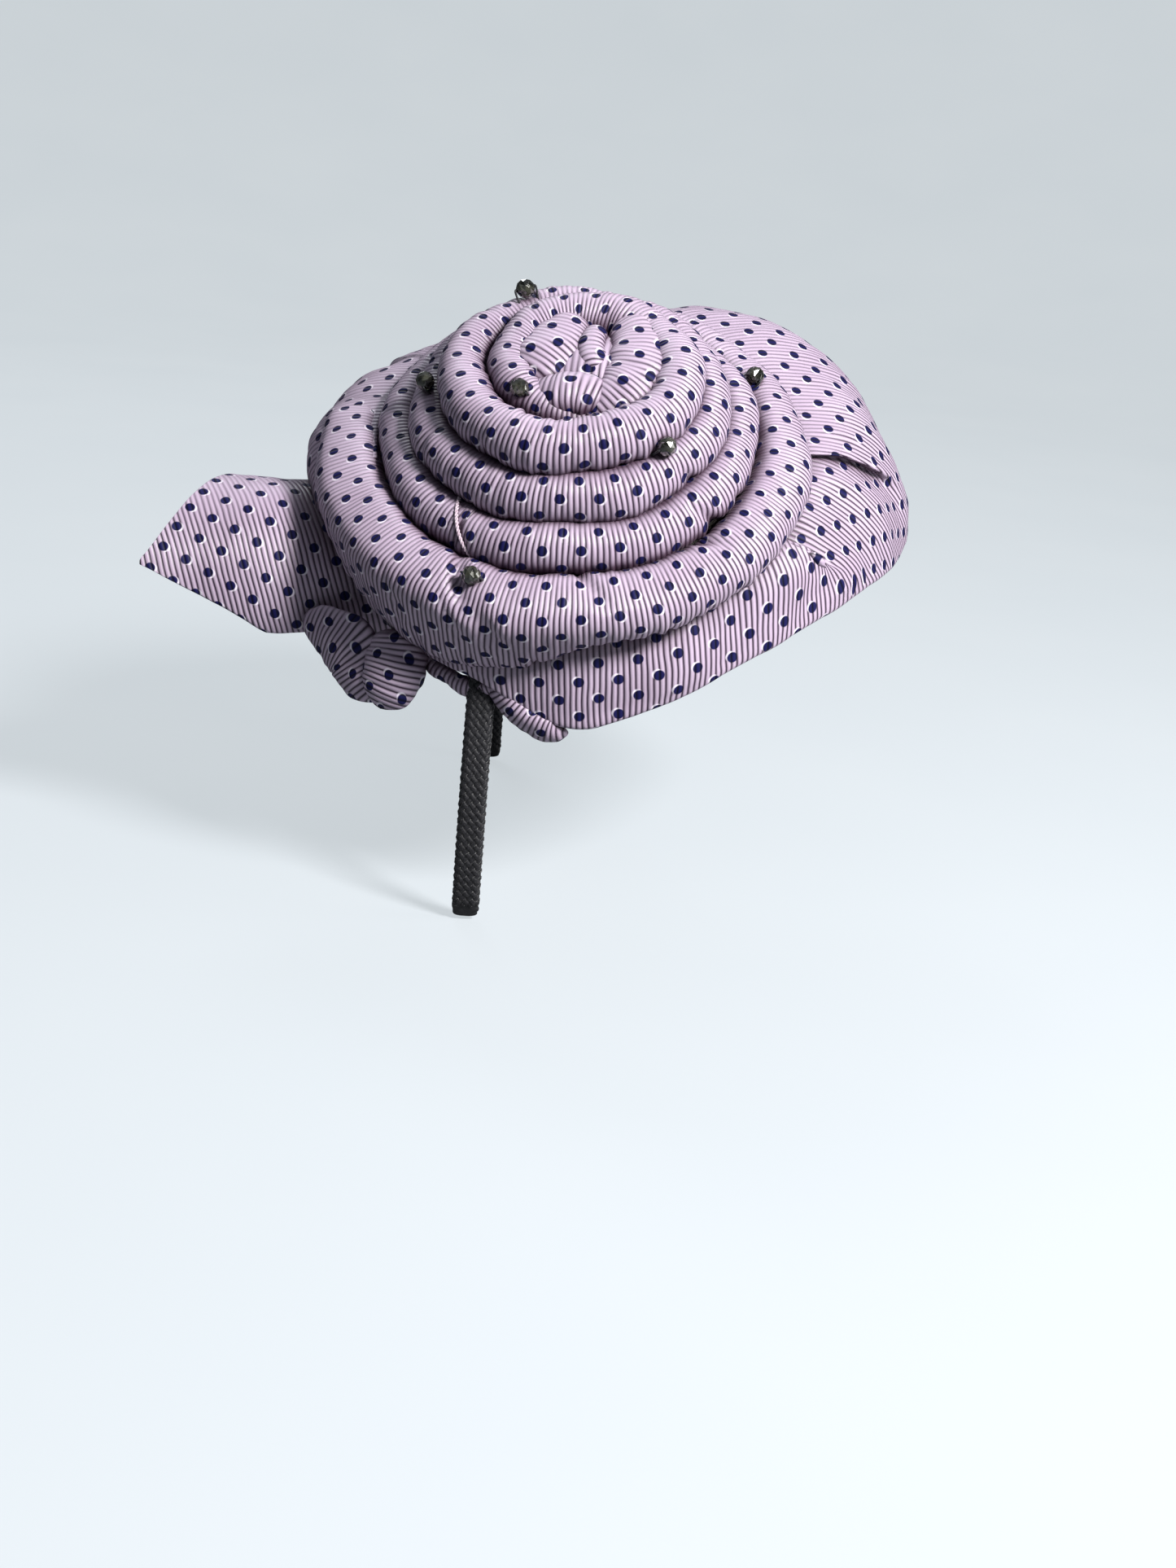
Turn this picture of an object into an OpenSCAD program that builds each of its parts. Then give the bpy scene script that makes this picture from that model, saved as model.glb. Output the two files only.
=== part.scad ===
// Fascinator headpiece: a necktie coiled into a rose on a small bound base, with the tie's
// pointed blade left free as a leaf, sewn to the side of a braid-covered spring headband.
// Millimetres. The origin lies midway between the two tips of the headband. The band stands
// in the plane X = 0, +X points to the wearer's face, +Y to the wearer's left and +Z up.

/* [Headband] */
// Height of the crown of the band above its tips
band_height = 112; // [111:1:114]
// Radius of the crown arc, on the band's centre line
crown_radius = 68; // [67:1:69]
// Angle from the top of the band at which each arm leaves the crown arc and starts to flex
flex_angle = 76; // [75:0.5:77]
// Radius of the flatter arms below the crown arc
arm_radius = 110; // [106:1:114]
// Width of the braid
braid_width = 6.4; // [6:0.1:6.6]
// Thickness of the braid
braid_thickness = 3; // [2.8:0.1:3.1]
// Width of the spring strip
spring_width = 5; // [4.6:0.1:5]
// Thickness of the spring strip
spring_thickness = 1.2; // [0.8:0.1:1.2]
// Clear gap in the band at each flex line
flex_gap = 1; // [0.8:0.1:1.2]
// Length of the sealed end of the braid
tip_length = 5; // [4:0.5:6]

/* [Cap] */
// Tilt of the rose towards the wearer's right side
cap_tilt = 33; // [32:0.5:34]
// Lean of the rose towards the face
cap_lean = -5; // [-6:0.5:-4]
// Radius of the base in plan
base_radius = 44; // [42:0.5:45]
// Inside radius of the domed base lining
dome_radius = 80; // [79.5:0.5:80.5]
// Thickness of the base lining
lining_thickness = 0.8; // [0.6:0.1:0.8]
// Thickness of the stiff base shell
shell_thickness = 1.4; // [1.2:0.1:1.4]
// Diameter of the wire in the base's edge
rim_wire_d = 1.2; // [1:0.1:1.2]
// Outside diameter of the tape bound over the base's edge
binding_d = 3.4; // [3.3:0.1:3.5]

/* [Rose] */
// Radius of the rolled tie in section
roll_radius = 4.7; // [4.4:0.1:4.7]
// Thickness of the silk round the roll
silk_thickness = 0.9; // [0.7:0.1:0.9]
// Radius of the bud in the middle of the rose
bud_radius = 10; // [9:0.5:10]
// Thickness of the draped silk below the rose
drape_thickness = 1.8; // [1.4:0.1:1.8]

/* [Leaf] */
// Length of the free blade tip from its root to its point
leaf_length = 42.5; // [38:0.5:43]
// Length of the pointed end of the blade
leaf_point_length = 30; // [26:1:33]
// Radius that the blade is curled to across its width
leaf_curl_radius = 23.3; // [22.5:0.1:23.5]
// Angle round the curl from its crest down to the blade's point
leaf_point_turn = 45; // [40:1:50]
// Rise of the leaf towards its point
leaf_rise = 9; // [7:0.5:10]

/* [Beads] */
// Diameter of a glass bead
bead_d = 4.5; // [4:0.5:5]
// Diameter of the hole through a bead
bead_bore = 1; // [0.8:0.1:1.2]
// Diameter of the sewing thread
thread_d = 0.5; // [0.3:0.1:0.5]

/* [Hidden] */
$fn = 64;

silk_colour = [0.72, 0.58, 0.66];
black_colour = [0.07, 0.07, 0.08];
clearance = 0.15;

// The band: a crown arc and two tangent arms, by angle from the top.
crown_centre_z = band_height - crown_radius;
arm_centre_y = (crown_radius - arm_radius) * sin(flex_angle);
arm_centre_z = crown_centre_z + (crown_radius - arm_radius) * cos(flex_angle);
arm_end_angle = acos(-arm_centre_z / arm_radius);
tip_angle = arm_end_angle - tip_length / arm_radius * 180 / PI;
crown_half_gap = flex_gap / 2 / crown_radius * 180 / PI;
arm_half_gap = flex_gap / 2 / arm_radius * 180 / PI;
bore_clearance = 0.2;
tip_joint = 0.1;

// The cap's own frame: the axis of the rose, with z = 0 at the silk's lower edge.
cap_position = [18.5, -20, 81.5];
dome_centre = [1, -2, -46.7];
shell_inner_radius = dome_radius + lining_thickness + clearance;
shell_outer_radius = shell_inner_radius + shell_thickness;
rim_mid_radius = (dome_radius + shell_outer_radius) / 2;
rim_wire_reach = base_radius + rim_wire_d / 2 + clearance;
rim_wire_height = sqrt(rim_mid_radius * rim_mid_radius - rim_wire_reach * rim_wire_reach);
edge_slope = asin(rim_wire_reach / rim_mid_radius);

// The felt strip's stretch of the band, as angles from the top, and the stitches through it.
felt_from = 22;
felt_to = 56;
felt_thickness = 0.8;
felt_width = 10;
stitch_count = 4;
stitch_rise = 8;

// The coil winds outwards clockwise, seen from outside, from the side of the wearer's nape.
// Places along it are counted in turns. Reach is the outside radius of the soft roll at a
// place, and height is the level of the roll's centre. The solid roll is slimmer than the soft
// one, which is squeezed against its neighbours.
rose_offset = 1;
coil_reach = [[0, 19], [0.5, 30], [1, 31], [1.5, 36], [2, 38], [2.5, 43], [3, 45.5],
              [3.5, 55], [4, 61.5], [4.1, 61.8]];
coil_height = [[0, 57], [0.25, 57], [0.75, 56.2], [1.25, 51.4], [1.75, 46.8], [2.75, 38.4],
               [3.75, 31.2], [4.1, 28.7]];
soft_roll_radius = 6;
tail_end = 1.2;
neck_end = 2.85;
coil_end = 4.06;
coil_joint = 0.006;
steps_per_turn = 30;
roll_sides = 10;
core_clearance = 0.6;
core_radius = roll_radius - silk_thickness - core_clearance;

// The bud in the middle of the coil, and the cone of wadding under it.
bud_centre = [3.5, -1, 53];
bud_bottom = 50.5;
padding_top = 50.2;
padding_top_radius = 19;
padding_foot = 24;
padding_foot_radius = 31;

// The lower edge of the draped silk: reach and height by direction round the rose axis,
// counted from the front (0) over the wearer's left side (90) to the nape (180).
drape_reach = [[-150, 54], [-112, 56.5], [-101, 58.5], [-89, 62], [-72, 61], [-50, 62],
               [-33, 66], [-18, 72], [0, 82], [12, 88], [25, 89], [46, 89], [60, 84],
               [75, 75], [90, 67], [120, 61], [150, 62]];
drape_height = [[-150, 9], [-112, 12.5], [-101, 7.5], [-89, 4], [-72, 8], [-50, 12.5],
                [-33, 12.5], [-18, 9.5], [0, -1], [12, -7], [25, -7], [46, -3], [60, 1],
                [90, 1], [120, 1], [150, 1]];
drape_inner_reach = 46.8;
roll_gap = 0.6;

// How far the middle of the draped silk stands out from a straight line, by direction.
drape_bulge = [[-150, 1], [-100, 1.5], [-40, 3], [-15, 5], [0, 9], [12, 12], [25, 15],
               [46, 16], [60, 13], [75, 10], [90, 7], [110, 4], [150, 3]];
drape_steps_across = 8;
drape_step_angle = 7.5;

// Corners of the gathered fold below the leaf's root, and the radius of its edges.
lobe_points = [[-55, -38.5, 6], [-38, -47, 8], [-46.5, -49, 0]];
lobe_radius = 3;

// The axis of the leaf's curl at its root, the leaf's turn round the rose axis, and where
// its two long edges end. Its layers are listed from the outside in.
leaf_root = [-62.5, -5.8, -2.3];
leaf_yaw = 3.8;
leaf_edge_turn = 85;
leaf_edge_height = 3;
layer_gap = 0.1;
leaf_silk_thickness = 0.8;
leaf_felt_thickness = 1.3;
leaf_lining_thickness = 0.5;

// Beads: direction round the rose axis, reach and height of each bead's centre.
bead_places = [[114, 28.5, 60.2], [176, 34.5, 52.3], [-116, 51.8, 38.6],
               [22, 46.3, 41.3], [-141, 15.8, 60.9], [-50, 31.8, 56.4]];
bead_facets = 10;

// ---------------------------------------------------------------- headband

// A flat oval section: t across the strip and w along its width.
module flat_oval(w, t) {
    square([t, w - t], center = true);
    for (side = [-1, 1])
        translate([0, side * (w - t) / 2]) circle(d = t);
}

// Sweeps a section along one arc of the band, between two angles from the top.
module band_arc(from, to, radius, centre_y, centre_z) {
    translate([0, centre_y, centre_z])
        rotate([0, -90, 0])
            rotate([0, 0, from])
                rotate_extrude(angle = to - from)
                    translate([radius, 0]) children();
}

module crown_arc(from, to) {
    band_arc(from, to, crown_radius, 0, crown_centre_z) children();
}

// The arm on the wearer's left. The right arm is its mirror image.
module arm_arc(from, to) {
    band_arc(from, to, arm_radius, arm_centre_y, arm_centre_z) children();
}

module spring_section() {
    flat_oval(spring_width, spring_thickness);
}

module braid_section() {
    difference() {
        flat_oval(braid_width, braid_thickness);
        flat_oval(spring_width + 2 * bore_clearance, spring_thickness + 2 * bore_clearance);
    }
}

module crown_run() {
    crown_arc(crown_half_gap - flex_angle, flex_angle - crown_half_gap) children();
}

module arm_run() {
    arm_arc(flex_angle + arm_half_gap, tip_angle) children();
}

module band_spring_crown() {
    color("silver") crown_run() spring_section();
}

module band_spring_right() {
    color("silver") mirror([0, 1, 0]) arm_run() spring_section();
}

module band_spring_left() {
    color("silver") arm_run() spring_section();
}

module band_braid_crown() {
    color(black_colour) crown_run() braid_section();
}

module band_braid_right() {
    color(black_colour) mirror([0, 1, 0]) arm_run() braid_section();
}

module band_braid_left() {
    color(black_colour) arm_run() braid_section();
}

// The braid's end, fused into a solid tab.
module braid_tip() {
    joint_angle = tip_joint / arm_radius * 180 / PI;
    arm_arc(tip_angle + joint_angle, arm_end_angle)
        flat_oval(braid_width - 0.3, braid_thickness - 0.4);
}

module braid_tip_right() {
    color(black_colour) mirror([0, 1, 0]) braid_tip();
}

module braid_tip_left() {
    color(black_colour) braid_tip();
}

// ---------------------------------------------------------------- base

module cap_frame() {
    translate(cap_position) rotate([cap_tilt, cap_lean, 0]) children();
}

// A dome-shaped layer of the base between two radii.
module dome_layer(inner, outer) {
    intersection() {
        translate(dome_centre)
            difference() {
                sphere(r = outer);
                sphere(r = inner);
            }
        translate([dome_centre.x, dome_centre.y, 0])
            cylinder(r = base_radius, h = dome_radius);
    }
}

module base_lining() {
    color(black_colour)
        cap_frame() dome_layer(dome_radius, dome_radius + lining_thickness);
}

module base_shell() {
    color("dimgray")
        cap_frame() dome_layer(shell_inner_radius, shell_outer_radius);
}

module rim_ring(d) {
    translate(dome_centre)
        rotate_extrude()
            translate([rim_wire_reach, rim_wire_height]) circle(d = d);
}

module rim_wire() {
    color("gray") cap_frame() rim_ring(rim_wire_d);
}

// Tape folded over the wire and the edge of both layers, so its section is open inwards.
module binding_section() {
    slot = shell_outer_radius - dome_radius + 2 * clearance;
    difference() {
        circle(d = binding_d);
        circle(d = rim_wire_d + 2 * clearance);
        rotate([0, 0, -edge_slope])
            translate([-binding_d, -slot / 2]) square([binding_d, slot]);
    }
}

module edge_binding() {
    color(black_colour)
        cap_frame()
            translate(dome_centre)
                rotate_extrude()
                    translate([rim_wire_reach, rim_wire_height]) binding_section();
}

// Felt strip sewn between the band and the lining.
module band_felt() {
    color("black")
        mirror([0, 1, 0])
            crown_arc(felt_from, felt_to)
                translate([(braid_thickness + felt_thickness) / 2 + clearance, 0])
                    square([felt_thickness, felt_width], center = true);
}

// Stitches round the braid, anchored through the felt, the lining and the shell.
module band_stitch() {
    inner_width = braid_width + 2 * clearance;
    inner_depth = braid_thickness / 2 + clearance;
    rotate([90, 0, 0])
        linear_extrude(height = thread_d, center = true)
            difference() {
                translate([-inner_width / 2 - thread_d, -inner_depth - thread_d])
                    square([inner_width + 2 * thread_d, inner_depth + thread_d + stitch_rise]);
                translate([-inner_width / 2, -inner_depth])
                    square([inner_width, inner_depth + 2 * stitch_rise]);
            }
}

module band_stitches() {
    color("black")
        for (i = [0:stitch_count - 1]) {
            angle = felt_from + (felt_to - felt_from) * (i + 0.5) / stitch_count;
            translate([0, 0, crown_centre_z])
                rotate([angle, 0, 0])
                    translate([0, 0, crown_radius]) band_stitch();
        }
}

// ---------------------------------------------------------------- rose

// Direction of a place on the coil, round the rose axis.
function coil_angle(turn) = 180 - 360 * turn;

// Radius of the roll's centre line at a place on the coil.
function coil_radius(turn) = lookup(turn, coil_reach) - soft_roll_radius;

// A point on a circle of the given radius round the roll's centre line.
function roll_point(turn, radius, around) =
    let (reach = coil_radius(turn) + radius * cos(around))
    [rose_offset + reach * cos(coil_angle(turn)),
     reach * sin(coil_angle(turn)),
     lookup(turn, coil_height) + radius * sin(around)];

// A flat end face over one ring, cut into strips between its two halves, so that a crescent
// is filled without leaving its outline.
function end_face(first, count, flip) =
    [for (k = [0:count / 2 - 2], half = [0, 1])
        let (
            a = first + k,
            b = first + k + 1,
            c = first + count - 2 - k,
            d = first + count - 1 - k,
            face = half == 0 ? [a, b, c] : [a, c, d]
        )
        flip ? [face[2], face[1], face[0]] : face];

// Joins rings of points, each a closed section with the same even count, into one solid.
module ring_sweep(rings) {
    count = len(rings[0]);
    last = len(rings) - 1;
    sides = [for (i = [0:last - 1], k = [0:count - 1], half = [0, 1])
        let (a = i * count + k, b = i * count + (k + 1) % count)
        half == 0 ? [a, b, b + count] : [a, b + count, a + count]];
    polyhedron(points = [for (ring = rings) each ring],
               faces = concat(end_face(0, count, true), sides,
                              end_face(last * count, count, false)));
}

// A stretch of the coiled roll between two places, as a spiral tube.
module coil_tube(from, to, radius) {
    steps = ceil((to - from) * steps_per_turn);
    ring_sweep([for (i = [0:steps])
        let (turn = from + (to - from) * i / steps)
        [for (k = [0:roll_sides - 1]) roll_point(turn, radius, -k * 360 / roll_sides)]]);
}

// The silk of one stretch, open at both ends round its interlining.
module silk_roll(from, to) {
    color(silk_colour)
        cap_frame()
            difference() {
                coil_tube(from, to, roll_radius);
                coil_tube(from - coil_joint, to + coil_joint, roll_radius - silk_thickness);
            }
}

module tail_coil() {
    silk_roll(0, tail_end - coil_joint);
}

module neck_coil() {
    silk_roll(tail_end + coil_joint, neck_end - coil_joint);
}

module blade_coil() {
    silk_roll(neck_end + coil_joint, coil_end);
}

// The tie's wool interlining, rolled up inside the silk for its whole length.
module coil_interlining() {
    color("ivory") cap_frame() coil_tube(coil_joint, coil_end - coil_joint, core_radius);
}

// The twisted seam that joins the neck of the tie to its blade, over the roll's outer face.
module joining_seam() {
    seam_radius = 0.45;
    seam_from = -25;
    seam_to = 110;
    color("thistle")
        cap_frame()
            translate([rose_offset, 0, 0])
                rotate([0, 0, coil_angle(neck_end)])
                    translate([coil_radius(neck_end), 0, lookup(neck_end, coil_height)])
                        rotate([90, 0, 0])
                            rotate([0, 0, seam_from])
                                rotate_extrude(angle = seam_to - seam_from)
                                    translate([roll_radius + seam_radius + clearance, 0])
                                        circle(r = seam_radius);
}

// The tie's narrow end, folded into a tight bud.
module rose_bud() {
    color(silk_colour)
        cap_frame()
            intersection() {
                translate(bud_centre) sphere(r = bud_radius);
                translate([bud_centre.x, bud_centre.y, bud_bottom])
                    cylinder(r = bud_radius, h = 2 * bud_radius);
            }
}

// Wadding that lifts the middle of the rose off the base.
module rose_padding() {
    color("ivory")
        cap_frame()
            difference() {
                translate([rose_offset, 0, padding_foot])
                    cylinder(r1 = padding_foot_radius, r2 = padding_top_radius,
                             h = padding_top - padding_foot);
                translate(dome_centre) sphere(r = shell_outer_radius + clearance);
            }
}

// ---------------------------------------------------------------- draped silk

// The place on the coil's outer turn that lies in a direction round the rose axis.
function outer_turn(angle) = 3.5 - angle / 360;

// A point across the drape, from under the outer roll (0) to the lower edge (1). Its section
// is one bowed curve, and drop sets the point below the silk's outer face.
function drape_point(angle, u, drop) =
    let (
        inner_height = lookup(outer_turn(angle), coil_height) - roll_radius - roll_gap,
        inner = [drape_inner_reach, inner_height],
        outer = [lookup(angle, drape_reach), lookup(angle, drape_height)],
        chord = outer - inner,
        away = [-chord.y, chord.x] / norm(chord),
        crest = (inner + outer) / 2 + 2 * lookup(angle, drape_bulge) * away,
        place = pow(1 - u, 2) * inner + 2 * u * (1 - u) * crest + u * u * outer,
        reach = place.x - drop / 2
    )
    [reach * cos(angle), reach * sin(angle), place.y - 0.8 * drop];

// A sector of the draped silk between two directions.
module drape(from, to) {
    steps = ceil((to - from) / drape_step_angle);
    n = drape_steps_across;
    color(silk_colour)
        cap_frame()
            ring_sweep([for (i = [0:steps])
                let (angle = to + (from - to) * i / steps)
                concat(
                    [for (k = [0:n]) drape_point(angle, k / n, 0)],
                    [for (k = [n:-1:0]) drape_point(angle, k / n, drape_thickness)])]);
}

module drape_front() {
    drape(-74, 49);
}

module drape_far() {
    drape(50, 150);
}

module drape_near() {
    drape(-150, -75);
}

// A gathered fold of the blade that hangs below the leaf's root.
module gathered_lobe() {
    color(silk_colour)
        cap_frame()
            hull()
                for (p = lobe_points)
                    translate(p) sphere(r = lobe_radius, $fn = 20);
}

// ---------------------------------------------------------------- leaf

// One of the two slanted edges that meet at the point, from the point to where the blade
// reaches its full width, as places in plan under the curl.
function slanted_edge(end_turn, inset) =
    [for (s = [0:0.1:1])
        [leaf_point_length * s + inset - leaf_length,
         leaf_curl_radius * sin(leaf_point_turn * (s - 1) + end_turn * s)]];

function reversed(list) = [for (i = [len(list) - 1:-1:0]) list[i]];

// One layer of the blade tip: a sheet curled to a half pipe and cut to the pointed end.
module leaf_layer(depth, thickness, inset) {
    outer = leaf_curl_radius - depth;
    far_edge = slanted_edge(leaf_edge_turn, inset);
    near_edge = slanted_edge(-leaf_edge_turn, inset);
    half = leaf_curl_radius * sin(leaf_edge_turn);
    cap_frame()
        translate(leaf_root)
            rotate([0, leaf_rise, leaf_yaw])
                intersection() {
                    rotate([0, -90, 0])
                        difference() {
                            cylinder(r = outer, h = leaf_length);
                            translate([0, 0, -1])
                                cylinder(r = outer - thickness, h = leaf_length + 2);
                        }
                    translate([0, 0, leaf_edge_height + inset])
                        linear_extrude(height = leaf_curl_radius)
                            polygon(concat([[0, -half], [0, half]], reversed(far_edge),
                                           [for (i = [1:len(near_edge) - 1]) near_edge[i]]));
                }
}

module leaf_silk() {
    color(silk_colour) leaf_layer(0, leaf_silk_thickness, 0);
}

module leaf_interlining() {
    color("ivory")
        leaf_layer(leaf_silk_thickness + layer_gap, leaf_felt_thickness, 1.5);
}

module leaf_tipping() {
    color("rosybrown")
        leaf_layer(leaf_silk_thickness + leaf_felt_thickness + 2 * layer_gap,
                   leaf_lining_thickness, 0.8);
}

// ---------------------------------------------------------------- beads

// Puts its children at a bead's place, with z along the line that the bead is threaded on.
module at_bead(place) {
    translate([rose_offset + place[1] * cos(place[0]), place[1] * sin(place[0]), place[2]])
        rotate([0, 0, place[0]])
            rotate([90, 0, 0]) children();
}

// A faceted round bead: a ball cut by flats along its girdle, drilled through.
module bead() {
    difference() {
        intersection() {
            sphere(d = bead_d);
            cylinder(d = bead_d, h = bead_d, center = true, $fn = bead_facets);
        }
        cylinder(d = bead_bore, h = 2 * bead_d, center = true, $fn = 32);
    }
}

module glass_beads() {
    color([0.4, 0.43, 0.38])
        cap_frame()
            for (place = bead_places) at_bead(place) bead();
}

// Thread through each bead, knotted at both ends.
module bead_threads() {
    knot = bead_d / 2 + 0.35;
    color("black")
        cap_frame()
            for (place = bead_places)
                at_bead(place) {
                    cylinder(d = thread_d, h = 2 * knot, center = true, $fn = 24);
                    for (side = [-1, 1])
                        translate([0, 0, side * knot]) sphere(d = 1.4 * thread_d, $fn = 24);
                }
}

band_spring_crown();
band_spring_right();
band_spring_left();
band_braid_crown();
band_braid_right();
band_braid_left();
braid_tip_right();
braid_tip_left();
base_lining();
base_shell();
rim_wire();
edge_binding();
band_felt();
band_stitches();
rose_padding();
rose_bud();
tail_coil();
neck_coil();
blade_coil();
coil_interlining();
joining_seam();
drape_front();
drape_far();
drape_near();
gathered_lobe();
leaf_silk();
leaf_interlining();
leaf_tipping();
glass_beads();
bead_threads();
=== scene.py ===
"""Looks of the fascinator headpiece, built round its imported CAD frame.

Lengths are millimetres until a mesh is made. The cap's own frame has the rose's axis as z and
the silk's lower edge near z = 0; cap_to_row() turns it into the row frame. On the coil, places
are counted in turns from the side of the nape. Directions round the rose are degrees from the
front (0) over the wearer's left side (90) to the nape (180).
"""

import math

import bpy
import numpy as np
from mathutils import Matrix, Vector


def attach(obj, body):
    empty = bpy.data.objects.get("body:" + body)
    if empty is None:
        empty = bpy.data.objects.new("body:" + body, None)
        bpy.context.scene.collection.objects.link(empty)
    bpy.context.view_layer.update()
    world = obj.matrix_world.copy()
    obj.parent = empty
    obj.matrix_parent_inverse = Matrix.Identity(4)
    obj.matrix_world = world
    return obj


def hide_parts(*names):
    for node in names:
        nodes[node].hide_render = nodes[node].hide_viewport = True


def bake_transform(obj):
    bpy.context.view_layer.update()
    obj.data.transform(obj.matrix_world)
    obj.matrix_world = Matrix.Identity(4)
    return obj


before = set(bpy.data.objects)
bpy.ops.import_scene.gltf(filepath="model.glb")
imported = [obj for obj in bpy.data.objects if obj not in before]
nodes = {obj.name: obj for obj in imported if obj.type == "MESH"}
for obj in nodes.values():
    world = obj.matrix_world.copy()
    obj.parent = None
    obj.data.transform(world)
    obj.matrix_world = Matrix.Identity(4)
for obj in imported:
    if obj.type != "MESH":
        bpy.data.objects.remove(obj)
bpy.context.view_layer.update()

MM = 0.001
X_AXIS = np.array([1.0, 0, 0])
Z_AXIS = np.array([0, 0, 1.0])

# ---------------------------------------------------------------- driving dimensions

CAP_POSITION = np.array([18.5, -20.0, 81.5])
CAP_TILT = math.radians(33)
CAP_LEAN = math.radians(-5)
DOME_CENTRE = np.array([1.0, -2.0, -46.7])
DOME_RADIUS = 80.0
BASE_RADIUS = 44.0

ROSE_OFFSET = 1.0
ROLL_RADIUS = 6.2
ROLL_INSET = 6.0
COIL_REACH = [[-0.35, 17.5], [-0.1, 18], [0, 19], [0.5, 30], [1, 31], [1.5, 36], [2, 38],
              [2.5, 43], [3, 45.5], [3.5, 55], [4, 61.5], [4.1, 61.8]]
COIL_HEIGHT = [[-0.35, 54.5], [0, 57], [0.25, 57], [0.75, 56.2], [1.25, 51.4], [1.75, 46.8],
               [2.75, 38.4], [3.75, 31.2], [4.1, 28.7]]
COIL_START = -0.35
TAIL_END = 1.2
NECK_END = 2.85
COIL_END = 4.05
COIL_MEAN_REACH = 38

DRAPE_FROM = -150
DRAPE_TO = 188
DRAPE_REACH = [[-150, 54], [-112, 56.5], [-101, 58.5], [-89, 62], [-72, 61], [-50, 62], [-33, 66],
               [-18, 72], [0, 82], [12, 88], [25, 89], [46, 89], [60, 84], [75, 75], [90, 67],
               [120, 61], [150, 61], [175, 60], [190, 57]]
DRAPE_HEIGHT = [[-150, 9], [-112, 12.5], [-101, 7.5], [-89, 4], [-72, 8], [-50, 12.5],
                [-33, 12.5], [-18, 9.5], [0, -1], [12, -7], [25, -7], [46, -3], [60, 1], [90, 1],
                [120, 1], [150, 3], [175, 8], [190, 12]]
DRAPE_BULGE = [[-150, 1], [-100, 1.5], [-40, 3], [-15, 5], [0, 9], [12, 12], [25, 15], [46, 16],
               [60, 13], [75, 10], [90, 7], [110, 6], [125, 8], [150, 12], [175, 12], [190, 8]]
DRAPE_START = [[-150, -4], [90, -4], [112, 0], [190, 0]]
DRAPE_INNER_REACH = 45.5

LEAF_ROOT = np.array([-62.5, -5.8, -2.3])
LEAF_LENGTH = 42.5
LEAF_POINT = 30.0
LEAF_CURL = 23.3
LEAF_POINT_TURN = math.radians(-45)
LEAF_EDGE_TURN = math.radians(83)
LEAF_RISE = math.radians(9)
LEAF_YAW = math.radians(3.8)
LEAF_BIAS = math.radians(17)

CROWN_RADIUS = 68.0
CROWN_CENTRE_Z = 44.0
FLEX_ANGLE = math.radians(76)
ARM_RADIUS = 110.0
TIP_LENGTH = 5.0

BEAD_D = 4.5
BEAD_BORE_RADIUS = 0.5
THREAD_RADIUS = 0.25
THREAD_DIVE = 4.5
BEAD_PLACES = [[114, 28.5, 60.2], [176, 34.5, 52.3], [-116, 51.8, 38.6],
               [22, 46.3, 41.3], [-141, 15.8, 60.9], [-50, 31.8, 56.4]]

RIB_PITCH = 1.27
SPOT_PITCH = 8.5
SPOT_D = 2.35

# ---------------------------------------------------------------- frames and curves


def rotation(axis, angle):
    """3x3 rotation about one of the axes, as numpy."""
    return np.array(Matrix.Rotation(angle, 3, axis))


CAP_TURN = rotation("Y", CAP_LEAN) @ rotation("X", CAP_TILT)


def cap_to_row(points):
    return np.asarray(points) @ CAP_TURN.T + CAP_POSITION


def lookup(table, at, blur):
    """Value of a table at some places, with its corners rounded over a distance of blur."""
    keys, values = np.array(table, float).T
    return np.mean([np.interp(np.asarray(at) + shift, keys, values)
                    for shift in np.linspace(-blur, blur, 9)], axis=0)


def smooth(low, high, at):
    """0 below low, 1 above high, and an even turn between them."""
    t = np.clip((np.asarray(at, float) - low) / (high - low), 0, 1)
    return t * t * (3 - 2 * t)


def unit(v):
    """Vectors along the last axis at length 1."""
    v = np.asarray(v, float)
    return v / np.maximum(np.linalg.norm(v, axis=-1, keepdims=True), 1e-9)


def round_place(reach, angle, height):
    """Points by distance from the z axis, angle round it and height."""
    reach, angle, height = np.broadcast_arrays(reach, angle, height)
    return np.stack([reach * np.cos(angle), reach * np.sin(angle), height], -1)


def circle(count):
    """Angles evenly round a full turn."""
    return np.linspace(0, 2 * np.pi, count, endpoint=False)


def rounded(share, least):
    """Half size of a rounded end: least is its square at share 0, and it is full from 1."""
    return np.sqrt(np.maximum(1 - (1 - np.clip(share, 0, 1)) ** 2, least))


def squared(wave, power):
    """A sine or cosine with its tops flattened, for oval sections with fuller corners."""
    return np.sign(wave) * np.abs(wave) ** power


def ripple(a, b, seed):
    """Irregular waves between about -1 and 1 over two coordinates, counted in wavelengths."""
    rng = np.random.default_rng(seed)
    waves = 7
    total = 0
    for _ in range(waves):
        turn, phase = rng.uniform(0, 2 * np.pi, 2)
        rate = 2 * np.pi * rng.uniform(0.55, 1.45)
        total = total + np.sin(rate * (a * np.cos(turn) + b * np.sin(turn)) + phase)
    return total / math.sqrt(waves)


def path_length(points):
    """Distance along the first axis of an array of points, from its start."""
    steps = np.linalg.norm(np.diff(points, axis=0), axis=-1)
    return np.concatenate([np.zeros((1,) + steps.shape[1:]), np.cumsum(steps, axis=0)])


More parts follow.
